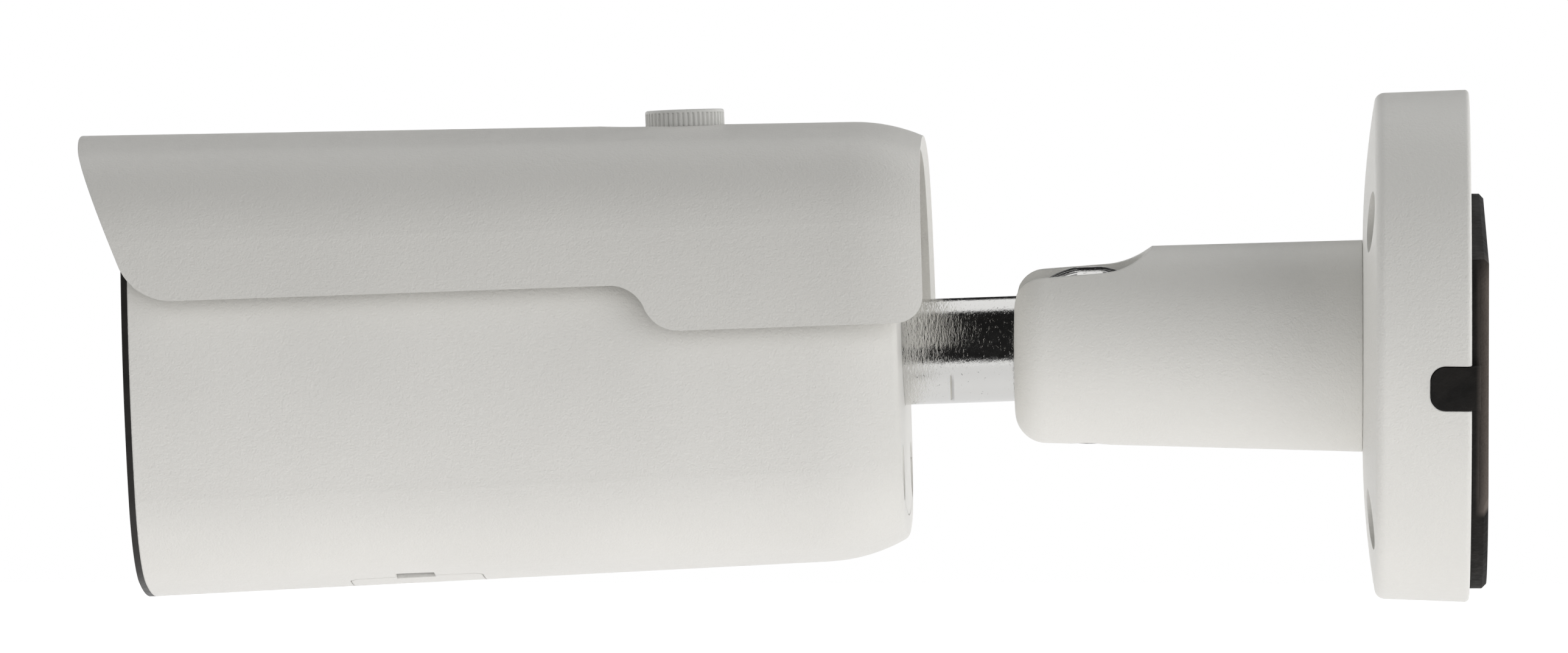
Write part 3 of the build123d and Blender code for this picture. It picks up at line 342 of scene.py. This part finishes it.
def shaping_tree(name, sizes):
    """Geometry Nodes tree that repeats a shape on points, with named inputs for its sizes."""
    tree = bpy.data.node_groups.new(name, "GeometryNodeTree")
    tree.interface.new_socket("Geometry", in_out="INPUT", socket_type="NodeSocketGeometry")
    tree.interface.new_socket("Geometry", in_out="OUTPUT", socket_type="NodeSocketGeometry")
    for size in sizes:
        tree.interface.new_socket(size, in_out="INPUT", socket_type="NodeSocketFloat")
    tree.interface.new_socket("Facing", in_out="INPUT", socket_type="NodeSocketVector")
    tree.interface.new_socket("Finish", in_out="INPUT", socket_type="NodeSocketMaterial")
    tree.nodes.new("NodeGroupInput")
    tree.nodes.new("NodeGroupOutput")
    return tree, tree.nodes["Group Input"].outputs


def repeat_on_points(tree, size, shape, seed):
    """Ends a tree: the shape on every point, turned at random on its own axis and then to face outwards."""
    spin = add(tree, "FunctionNodeRandomValue", Seed=seed)
    spin.data_type = "FLOAT"
    spin.inputs[3].default_value = 2 * pi
    turn = add(tree, "FunctionNodeAxisAngleToRotation", Axis=(0, 0, 1), Angle=spin.outputs[1])
    facing = add(tree, "FunctionNodeEulerToRotation", Euler=size["Facing"])
    both = add(tree, "FunctionNodeRotateRotation", Rotation=facing.outputs[0], Rotate_By=turn.outputs[0])
    both.rotation_space = "LOCAL"
    rows = add(
        tree,
        "GeometryNodeInstanceOnPoints",
        Points=size["Geometry"],
        Instance=shape,
        Rotation=both.outputs[0],
    )
    plain = add(tree, "GeometryNodeRealizeInstances", Geometry=rows.outputs[0])
    painted = add(tree, "GeometryNodeSetMaterial", Geometry=plain.outputs[0], Material=size["Finish"])
    tree.links.new(painted.outputs[0], tree.nodes["Group Output"].inputs[0])


def domed_disc(tree, radius, height, dome, taper, corners=40):
    """Round disc on the plane z = 0, drawn in towards its domed top."""
    disc = add(tree, "GeometryNodeMeshCylinder", Vertices=corners, Side_Segments=4, Fill_Segments=6)
    tree.links.new(radius, disc.inputs["Radius"])
    tree.links.new(height, disc.inputs["Depth"])
    place = tree.nodes.new("GeometryNodeInputPosition")
    apart = add(tree, "ShaderNodeSeparateXYZ", Vector=place.outputs[0])
    rise = combine(tree, "ADD", combine(tree, "DIVIDE", apart.outputs["Z"], height), 0.5)
    drawn_in = combine(tree, "MULTIPLY", combine(tree, "POWER", rise, 3), taper)
    squeeze = combine(tree, "SUBTRACT", 1, drawn_in)
    out_x = combine(tree, "POWER", combine(tree, "DIVIDE", apart.outputs["X"], radius), 2)
    out_y = combine(tree, "POWER", combine(tree, "DIVIDE", apart.outputs["Y"], radius), 2)
    out = combine(tree, "ADD", out_x, out_y)
    bulge = combine(tree, "MULTIPLY", rise, dome)
    crown = combine(tree, "MULTIPLY", combine(tree, "SUBTRACT", 1, out), bulge)
    crown = combine(tree, "SUBTRACT", crown, bulge)
    lifted = combine(tree, "ADD", combine(tree, "MULTIPLY", rise, height), crown)
    moved = add(
        tree,
        "ShaderNodeCombineXYZ",
        X=combine(tree, "MULTIPLY", apart.outputs["X"], squeeze),
        Y=combine(tree, "MULTIPLY", apart.outputs["Y"], squeeze),
        Z=lifted,
    )
    domed = add(tree, "GeometryNodeSetPosition", Geometry=disc.outputs["Mesh"], Position=moved.outputs[0])
    return domed.outputs[0]


def solid_of(tree, operation, first, *others):
    """Union or difference of closed shapes."""
    node = tree.nodes.new("GeometryNodeMeshBoolean")
    node.operation = operation
    node.solver = "EXACT"
    if operation == "DIFFERENCE":
        tree.links.new(first, node.inputs["Mesh 1"])
    else:
        others = (first, *others)
    for other in others:
        tree.links.new(other, node.inputs["Mesh 2"])
    return node.outputs["Mesh"]


def shifted(tree, shape, height, turn=0.0):
    """A shape raised along its axis and turned about it."""
    place = add(tree, "ShaderNodeCombineXYZ", Z=height)
    moved = add(tree, "GeometryNodeTransform", Geometry=shape, Translation=place.outputs[0])
    moved.inputs["Rotation"].default_value = (0, 0, turn)
    return moved.outputs[0]


def screw_tree(name, crossed):
    """Screws with a domed head and a shank, and a hexagon or a cross sunk in the head."""
    sizes = ("Head radius", "Head height", "Shank radius", "Shank length", "Socket width")
    tree, size = shaping_tree(name, sizes)
    dome = combine(tree, "MULTIPLY", size["Head height"], 0.22)
    head = domed_disc(tree, size["Head radius"], size["Head height"], dome, 0.12)
    half_head = combine(tree, "MULTIPLY", size["Head height"], 0.5)
    reach = combine(tree, "ADD", size["Shank length"], half_head)
    shank = add(tree, "GeometryNodeMeshCylinder", Vertices=24, Radius=size["Shank radius"], Depth=reach)
    drop = combine(tree, "SUBTRACT", half_head, combine(tree, "MULTIPLY", reach, 0.5))
    body = solid_of(tree, "UNION", head, shifted(tree, shank.outputs["Mesh"], drop))
    if crossed:
        blade = combine(tree, "MULTIPLY", size["Socket width"], 0.24)
        box = add(tree, "ShaderNodeCombineXYZ", X=size["Socket width"], Y=blade, Z=size["Head height"])
        wing = add(tree, "GeometryNodeMeshCube", Size=box.outputs[0]).outputs["Mesh"]
        sunk = [shifted(tree, wing, size["Head height"]), shifted(tree, wing, size["Head height"], pi / 2)]
    else:
        half = combine(tree, "MULTIPLY", size["Socket width"], 0.5)
        corner = combine(tree, "DIVIDE", half, 0.866)
        hexagon = add(tree, "GeometryNodeMeshCylinder", Vertices=6, Radius=corner, Depth=size["Head height"])
        sunk = [shifted(tree, hexagon.outputs["Mesh"], size["Head height"])]
    repeat_on_points(tree, size, solid_of(tree, "DIFFERENCE", body, *sunk), 7)
    return tree


def set_out(name, tree, points, facing, material, **sizes):
    """Runs a tree on points and keeps the result as one plain mesh."""
    mesh = bpy.data.meshes.new(name)
    mesh.from_pydata(points, [], [])
    piece = bpy.data.objects.new(name, mesh)
    bpy.context.scene.collection.objects.link(piece)
    modifier = piece.modifiers.new(name, "NODES")
    modifier.node_group = tree
    values = {size.replace("_", " "): value for size, value in sizes.items()}
    values |= {"Facing": facing, "Finish": material}
    for item in tree.interface.items_tree:
        if item.in_out == "INPUT" and item.name in values:
            modifier[item.identifier] = values[item.name]
    depsgraph = bpy.context.evaluated_depsgraph_get()
    plain = bpy.data.meshes.new_from_object(piece.evaluated_get(depsgraph), depsgraph=depsgraph)
    piece.modifiers.remove(modifier)
    piece.data = plain
    plain.materials.clear()
    plain.materials.append(material)
    plain.shade_smooth()
    plain.set_sharp_from_angle(angle=radians(32))
    return piece


# Head pieces are set out along, across and up from the ball's centre, pitched with the head.
head_pitch = 2
head_place = Matrix.Translation((ball_middle, 0, 0)) @ Matrix.Rotation(radians(-head_pitch), 4, "Y")


def on_head(*places):
    """Places in the head's own directions, in millimetres, as points of the frame."""
    return [head_place @ (Vector(place) / 1000) for place in places]


facing_back = (0, radians(90 - head_pitch), 0)
cover_seat = -34.9
cover_corner = 20.81
cover_corners = [(y, z) for y in (-cover_corner, cover_corner) for z in (-cover_corner, cover_corner)]
rear_screws = set_out(
    "rear_screws",
    screw_tree("socket_screws", crossed=False),
    on_head(*((cover_seat, y, z) for y, z in cover_corners)),
    facing_back,
    plated_steel,
    Head_radius=0.0021,
    Head_height=0.00185,
    Shank_radius=0.00125,
    Shank_length=0.0053,
    Socket_width=0.002,
)
keep(rear_screws, "head", "plated_steel", "rear_cover_screws")


# Housing
# Tapered aluminium casting with bowed sides and round corners, drawn in at the back.
# It is coated outside and in, and carries the visor on a boss above.
dress(shell_paint, "housing")


# Chassis and boards
# A pressed aluminium shelf slides into the housing and carries the boards on spacers.
chassis_metal, tree, shader = finish("chassis_metal", (0.68, 0.68, 0.68), 0.38, Metallic=1.0)
mottle(tree, shader, ((0.6, 0.6, 0.6), (0.74, 0.74, 0.74)), 120, stretch=(1, 9, 9))
uneven_gloss(tree, shader, 0.3, 0.48, 500, stretch=(0.2, 3, 3))
dress(chassis_metal, "chassis")

circuit_board, tree, shader = finish("circuit_board", (0.02, 0.13, 0.05), 0.35, Coat_Weight=0.3)
copper = grain(tree, 800, detail=0)
tint(tree, shader, spread(tree, copper, 0, 1, 0.5, 0.53), ((0.015, 0.10, 0.04), (0.03, 0.17, 0.07)))
relief(tree, shader, [(copper, 0.00003)])
dress(circuit_board, "main_board", "sensor_board", "card_board", "ir_board")
dress(plated_steel, "board_spacers", "board_screws", "card_board_posts", "card_socket")

chip_black, tree, shader = finish("chip_black", (0.02, 0.02, 0.022), 0.5)
mottle(tree, shader, ((0.016, 0.016, 0.018), (0.03, 0.03, 0.032)), 900)
relief(tree, shader, [(grain(tree, 5000), 0.00002)])
dress(chip_black, "processor", "image_sensor")


# Lens mount, filter and reset button
# Black moulded mount on the sensor board, with a carriage that slides a filter behind the lens.
inner_plastic, tree, shader = finish("inner_plastic", (0.025, 0.025, 0.025), 0.45)
mottle(tree, shader, ((0.02, 0.02, 0.02), (0.035, 0.035, 0.035)), 400)
relief(tree, shader, [(grain(tree, 3000), 0.00004)])
dress(inner_plastic, "lens_mount", "filter_carriage", "reset_switch", "reset_button")

filter_glass, tree, shader = finish(
    "filter_glass", (0.75, 0.9, 0.88), 0.03, Transmission_Weight=1.0, IOR=1.5, Thin_Film_Thickness=420.0
)
uneven_gloss(tree, shader, 0.02, 0.07, 200)
dress(filter_glass, "filter_glasses")


# Lens
# Black anodised barrel screwed into the mount, with a coated front glass and a rubber hood round it.
lens_metal, tree, shader = finish("lens_metal", (0.03, 0.03, 0.032), 0.4, Metallic=0.6)
mottle(tree, shader, ((0.025, 0.025, 0.027), (0.04, 0.04, 0.043)), 300)
relief(tree, shader, [(grain(tree, 2500), 0.00003)])


def turned(name, profile, steps, material):
    """Turned piece on the head's axis, from (along, radius) in millimetres, closed at both ends."""
    shape = bmesh.new()
    rings = []
    for along, radius in profile:
        if radius == 0:
            rings.append([shape.verts.new(head_place @ Vector((along / 1000, 0, 0)))])
            continue
        angles = [2 * pi * i / steps for i in range(steps)]
        places = [Vector((along, radius * cos(a), radius * sin(a))) / 1000 for a in angles]
        rings.append([shape.verts.new(head_place @ place) for place in places])
    for first, second in zip(rings, rings[1:]):
        for i in range(steps):
            corners = [first[i % len(first)], first[(i + 1) % len(first)]]
            corners += [second[(i + 1) % len(second)], second[i % len(second)]]
            shape.faces.new(dict.fromkeys(corners))
    bmesh.ops.recalc_face_normals(shape, faces=shape.faces)
    mesh = bpy.data.meshes.new(name)
    shape.to_mesh(mesh)
    shape.free()
    mesh.shade_smooth()
    mesh.set_sharp_from_angle(angle=radians(30))
    mesh.materials.append(material)
    piece = bpy.data.objects.new(name, mesh)
    bpy.context.scene.collection.objects.link(piece)
    return piece


lens_face = -152.0
lens_seat = lens_face + 3.0
glass_radius = 11.55
flange_back, flange_radius = -138.0, 14.4
tube_back, tube_radius = -112.05, 12.0
thread_end, thread_radius = -104.0, 8.0
bore_end, bore_radius = lens_seat + 15, 3.1
step_depth, step_rise = 2.5, 1.4
barrel_line = [(bore_end, 0), (bore_end, bore_radius)]
for step in range(5):
    radius = 4.0 + step_rise * step
    back = lens_seat + 12.5 - step_depth * step
    barrel_line += [(back, radius - 0.6), (back, radius + 0.3), (back - 0.3, radius + 0.6)]
barrel_line += [(lens_seat, 11.0), (lens_seat, glass_radius)]
barrel_line += [(lens_face + 0.5, glass_radius), (lens_face, 12.0)]
for groove in (12.5, 13.3):
    barrel_line += [(lens_face, groove), (lens_face + 0.35, groove + 0.1)]
    barrel_line += [(lens_face + 0.35, groove + 0.3), (lens_face, groove + 0.4)]
barrel_line += [(lens_face, flange_radius - 0.4), (lens_face + 0.4, flange_radius)]
barrel_line += [(flange_back, flange_radius), (flange_back, tube_radius)]
barrel_line += [(tube_back, tube_radius), (tube_back, thread_radius)]
barrel_line += [(thread_end, thread_radius), (thread_end, 0)]
turned_barrel = turned("turned_barrel", barrel_line, 96, lens_metal)
keep(turned_barrel, "head", "lens_metal", "lens_barrel")
dress(seal_rubber, "lens_hood")

coated_glass, tree, shader = finish(
    "coated_glass", (0.95, 0.95, 1.0), 0.02, Transmission_Weight=1.0, IOR=1.6, Thin_Film_Thickness=380.0
)
uneven_gloss(tree, shader, 0.01, 0.04, 150)
dress(coated_glass, "lens_glass")


# Front bezel, window and mask
# A black rim holds a flat clear window, and a dark mask behind it frames the lens and the lamps.
bezel_black, tree, shader = finish("bezel_black", (0.022, 0.02, 0.0185), 0.4, Specular_IOR_Level=0.4)
mottle(tree, shader, ((0.019, 0.0175, 0.016), (0.025, 0.023, 0.021)), 400)
uneven_gloss(tree, shader, 0.36, 0.46, 600)
relief(tree, shader, [(grain(tree, 5200, detail=1), 0.00002)], edge=0.0003)
dress(bezel_black, "front_bezel")
dress(seal_rubber, "front_seal")

mask_black, tree, shader = finish("mask_black", (0.012, 0.012, 0.0125), 0.55, Specular_IOR_Level=0.25)
mottle(tree, shader, ((0.010, 0.010, 0.0105), (0.015, 0.015, 0.0155)), 500)
relief(tree, shader, [(grain(tree, 3000, detail=1), 0.000012)])
dress(mask_black, "face_mask")

window_glass, tree, shader = finish("window_glass", (0.95, 0.96, 0.96), 0, Transmission_Weight=1.0, IOR=1.2)
uneven_gloss(tree, shader, 0.0, 0.006, 40)
dress(window_glass, "front_window")


# Infra-red emitters and light sensor
# Four bright plated cups stand on the board, each with a small dark die under a clear moulded lens.
def cup_tree():
    """Conical reflector cups with a raised die in the middle."""
    tree, size = shaping_tree("reflector_cups", ("Rim radius", "Cup depth", "Floor radius", "Die width"))
    rim, depth = size["Rim radius"], size["Cup depth"]
    wall = add(tree, "GeometryNodeMeshCylinder", Vertices=48, Radius=rim, Depth=depth)
    hollow = add(
        tree,
        "GeometryNodeMeshCone",
        Vertices=48,
        Radius_Top=combine(tree, "MULTIPLY", rim, 0.93),
        Radius_Bottom=size["Floor radius"],
        Depth=depth,
    )
    middle = combine(tree, "MULTIPLY", depth, 0.5)
    low = combine(tree, "MULTIPLY", depth, 0.14)
    wall = shifted(tree, wall.outputs["Mesh"], middle)
    cup = solid_of(tree, "DIFFERENCE", wall, shifted(tree, hollow.outputs["Mesh"], low))
    thick = combine(tree, "MULTIPLY", depth, 0.3)
    box = add(tree, "ShaderNodeCombineXYZ", X=size["Die width"], Y=size["Die width"], Z=thick)
    die = add(tree, "GeometryNodeMeshCube", Size=box.outputs[0]).outputs["Mesh"]
    low_die = combine(tree, "MULTIPLY", depth, 0.22)
    cup = solid_of(tree, "UNION", cup, shifted(tree, die, low_die))
    repeat_on_points(tree, size, cup, 3)
    return tree


def dome_tree():
    """Low clear domes."""
    tree, size = shaping_tree("clear_domes", ("Rim radius", "Height", "Dome"))
    dome = domed_disc(tree, size["Rim radius"], size["Height"], size["Dome"], 0.05, corners=48)
    repeat_on_points(tree, size, dome, 3)
    return tree


facing_front = (0, radians(-90 - head_pitch), 0)
cup_seat, dome_seat = -158.5, -159.95
emitter_reach = 20.5
emitter_spots = [(y, z) for y in (-emitter_reach, emitter_reach) for z in (-emitter_reach, emitter_reach)]
cup_plating, tree, shader = finish("cup_plating", (0.5, 0.49, 0.47), 0.2, Metallic=1.0)
mottle(tree, shader, ((0.44, 0.43, 0.41), (0.56, 0.55, 0.53)), 700)
uneven_gloss(tree, shader, 0.14, 0.3, 900)
emitter_cups = set_out(
    "emitter_cups",
    cup_tree(),
    on_head(*((cup_seat, y, z) for y, z in emitter_spots)),
    facing_front,
    cup_plating,
    Rim_radius=0.0044,
    Cup_depth=0.0014,
    Floor_radius=0.0014,
    Die_width=0.0011,
)
keep(emitter_cups, "head", "chassis_metal", "ir_emitters")

emitter_resin, tree, shader = finish(
    "emitter_resin", (0.9, 0.86, 0.8), 0.04, Transmission_Weight=1.0, IOR=1.5, Specular_IOR_Level=0.35
)
uneven_gloss(tree, shader, 0.02, 0.07, 300)
emitter_domes = set_out(
    "emitter_domes",
    dome_tree(),
    on_head(*((dome_seat, y, z) for y, z in emitter_spots)),
    facing_front,
    emitter_resin,
    Rim_radius=0.0043,
    Height=0.00125,
    Dome=0.0009,
)
keep(emitter_domes, "head", "emitter_resin", "ir_emitters")
dress(emitter_resin, "light_sensor")


# Access cover
# Flush coated plate in the underside, on a rubber seal, over the card socket and reset button.
dress(shell_paint, "access_cover")
dress(seal_rubber, "access_cover_seal")
facing_down = (radians(180), radians(-head_pitch), 0)
plate_seat = -36.08
plate_screws = set_out(
    "plate_screws",
    screw_tree("cross_screws", crossed=True),
    on_head((-128.6, 0, plate_seat), (-109.6, 0, plate_seat)),
    facing_down,
    plated_steel,
    Head_radius=0.0019,
    Head_height=0.0012,
    Shank_radius=0.0012,
    Shank_length=0.0042,
    Socket_width=0.002,
)
keep(plate_screws, "head", "plated_steel", "access_cover_screws")


# Sun visor
# Bent aluminium sheet over the housing, coated, that slides under its thumbscrew.
# Its colour is set a little darker than the housing's: painted shade for the less light on its upward-leaning
# sides.
# Painted shade: a darker copy of the housing's off-white coat.
visor_paint = powder_coat("visor_paint", (0.75, 0.739, 0.705), edge=0.00015)
dress(visor_paint, "sun_visor")


# Thumbscrew
# Fluted knob in the visor's paint that clamps the visor to the housing's boss.
knob_paint = powder_coat("knob_paint", (0.72, 0.717, 0.69))
dress(knob_paint, "thumbscrew")


# Floor, light and camera
# Pale floor, and light as on a light table: from underneath, a white wall behind and panels beside it.
# The camera's side stays darker, and a long lens looks on from there.
floor_width, floor_middle, floor_height = 14, 6.54, -0.32
bpy.ops.mesh.primitive_plane_add(size=floor_width, location=(0, floor_middle, floor_height))
floor = bpy.context.object
floor.name = "floor"
floor_white, tree, shader = finish("floor_white", (0.9, 0.9, 0.9), 0.9)
mottle(tree, shader, ((0.88, 0.88, 0.88), (0.91, 0.91, 0.91)), 3)
ray = tree.nodes.new("ShaderNodeLightPath")
seen = combine(tree, "MAXIMUM", ray.outputs["Is Camera Ray"], ray.outputs["Is Transmission Ray"])
glow = combine(tree, "MULTIPLY", seen, 0.55)
glow = combine(tree, "MAXIMUM", glow, combine(tree, "MULTIPLY", ray.outputs["Is Glossy Ray"], 0.28))
shader.inputs["Emission Color"].default_value = (1, 1, 1, 1)
tree.links.new(glow, shader.inputs["Emission Strength"])
clear = tree.nodes.new("ShaderNodeBsdfTransparent")
side_seen = tree.nodes.new("ShaderNodeNewGeometry")
from_below = tree.nodes.new("ShaderNodeMixShader")
tree.links.new(side_seen.outputs["Backfacing"], from_below.inputs["Fac"])
tree.links.new(shader.outputs[0], from_below.inputs[1])
tree.links.new(clear.outputs[0], from_below.inputs[2])
tree.links.new(from_below.outputs[0], tree.nodes["Material Output"].inputs["Surface"])
floor.data.materials.append(floor_white)

world = bpy.data.worlds.new("studio")
bpy.context.scene.world = world
world.use_nodes = True
tree = world.node_tree


def around(tree, towards, reach, blur):
    """1 within reach of a direction, in degrees and with a blurred edge, else 0."""
    direction = tree.nodes.new("ShaderNodeTexCoord")
    nearness = tree.nodes.new("ShaderNodeVectorMath")
    nearness.operation = "DOT_PRODUCT"
    nearness.inputs[1].default_value = Vector(towards).normalized()
    tree.links.new(direction.outputs["Generated"], nearness.inputs[0])
    return spread(tree, nearness.outputs["Value"], 0, 1, cos(radians(reach + blur)), cos(radians(reach - blur)))


def dark_side(tree, height, reach):
    """1 around a direction towards the camera and up by height, in degrees, else 0."""
    return around(tree, (0, -cos(radians(height)), sin(radians(height))), reach, 4)


def back_curtain(tree):
    """1 in a low band of directions behind the object, else 0."""
    direction = tree.nodes.new("ShaderNodeTexCoord")
    apart = tree.nodes.new("ShaderNodeSeparateXYZ")
    tree.links.new(direction.outputs["Generated"], apart.inputs[0])
    low = spread(tree, apart.outputs["Z"], 0, 1, 0.12, 0.2)
    high = spread(tree, apart.outputs["Z"], 1, 0, 0.57, 0.65)
    behind = spread(tree, apart.outputs["Y"], 0, 1, 0.3, 0.5)
    middle = spread(tree, combine(tree, "ABSOLUTE", apart.outputs["X"], 0), 1, 0, 0.25, 0.35)
    band = combine(tree, "MULTIPLY", low, high)
    return combine(tree, "MULTIPLY", band, combine(tree, "MULTIPLY", behind, middle))


ray = tree.nodes.new("ShaderNodeLightPath")
direction = tree.nodes.new("ShaderNodeTexCoord")
apart = tree.nodes.new("ShaderNodeSeparateXYZ")
tree.links.new(direction.outputs["Generated"], apart.inputs[0])
front = spread(tree, apart.outputs["X"], 0.52, 0.71, -0.6, 0.0)
back = spread(tree, apart.outputs["Y"], 0, 1.05, -0.15, 0.15)
walls = combine(tree, "MAXIMUM", front, back)
panels = [((0.82, -0.55, 0.12), 0.95), ((0.7, 0.7, 0), 1.2), ((-0.7, 0.7, 0), 0.6)]
for towards, extra in panels:
    panel = around(tree, towards, 30, 2)
    walls = combine(tree, "ADD", walls, spread(tree, panel, 0, extra, 0, 1))
soft_level = combine(tree, "MULTIPLY", walls, spread(tree, dark_side(tree, 76, 42), 1, 0.12, 0, 1))
shiny_dark = combine(tree, "MAXIMUM", dark_side(tree, 34.5, 60.5), back_curtain(tree))
shiny_level = spread(tree, shiny_dark, 0.95, 0.012, 0, 1)
level = tree.nodes.new("ShaderNodeMix")
tree.links.new(ray.outputs["Is Glossy Ray"], level.inputs["Factor"])
tree.links.new(soft_level, level.inputs["A"])
tree.links.new(shiny_level, level.inputs["B"])
studio = tree.nodes["Background"]
studio.inputs["Color"].default_value = (1, 1, 1, 1)
tree.links.new(level.outputs["Result"], studio.inputs["Strength"])
white = tree.nodes.new("ShaderNodeBackground")
white.inputs["Color"].default_value = (1, 1, 1, 1)
white.inputs["Strength"].default_value = 1.0
either = tree.nodes.new("ShaderNodeMixShader")
seen = combine(tree, "MAXIMUM", ray.outputs["Is Camera Ray"], ray.outputs["Is Transmission Ray"])
tree.links.new(seen, either.inputs["Fac"])
tree.links.new(studio.outputs[0], either.inputs[1])
tree.links.new(white.outputs[0], either.inputs[2])
tree.links.new(either.outputs[0], tree.nodes["World Output"].inputs["Surface"])


def aimed(direction):
    """Turn that points a lamp or a camera along a direction."""
    return direction.to_track_quat("-Z", "Y").to_euler()


lamp = bpy.data.lights.new("table_light", "AREA")
lamp.shape = "SQUARE"
lamp.size = 0.9
lamp.energy = 1.25
lamp.color = (1, 0.972, 0.96)
table_light = bpy.data.objects.new("table_light", lamp)
bpy.context.scene.collection.objects.link(table_light)
table_light.location = (-0.12, 0, -0.30)
table_light.rotation_euler = aimed(Vector((0, 0, 0.30)))
table_light.visible_camera = False
table_light.visible_glossy = False

camera = bpy.data.cameras.new("photo_camera")
camera.sensor_width = 36
camera.lens = 284.6
camera.clip_end = 50
photo_camera = bpy.data.objects.new("photo_camera", camera)
bpy.context.scene.collection.objects.link(photo_camera)
photo_camera.location = (-0.031, -2.18, 0.003)
aim = Vector((-0.12336, 0, 0.0034))
photo_camera.rotation_euler = aimed(aim - photo_camera.location)
bpy.context.scene.camera = photo_camera
bpy.context.scene.view_settings.view_transform = "Standard"
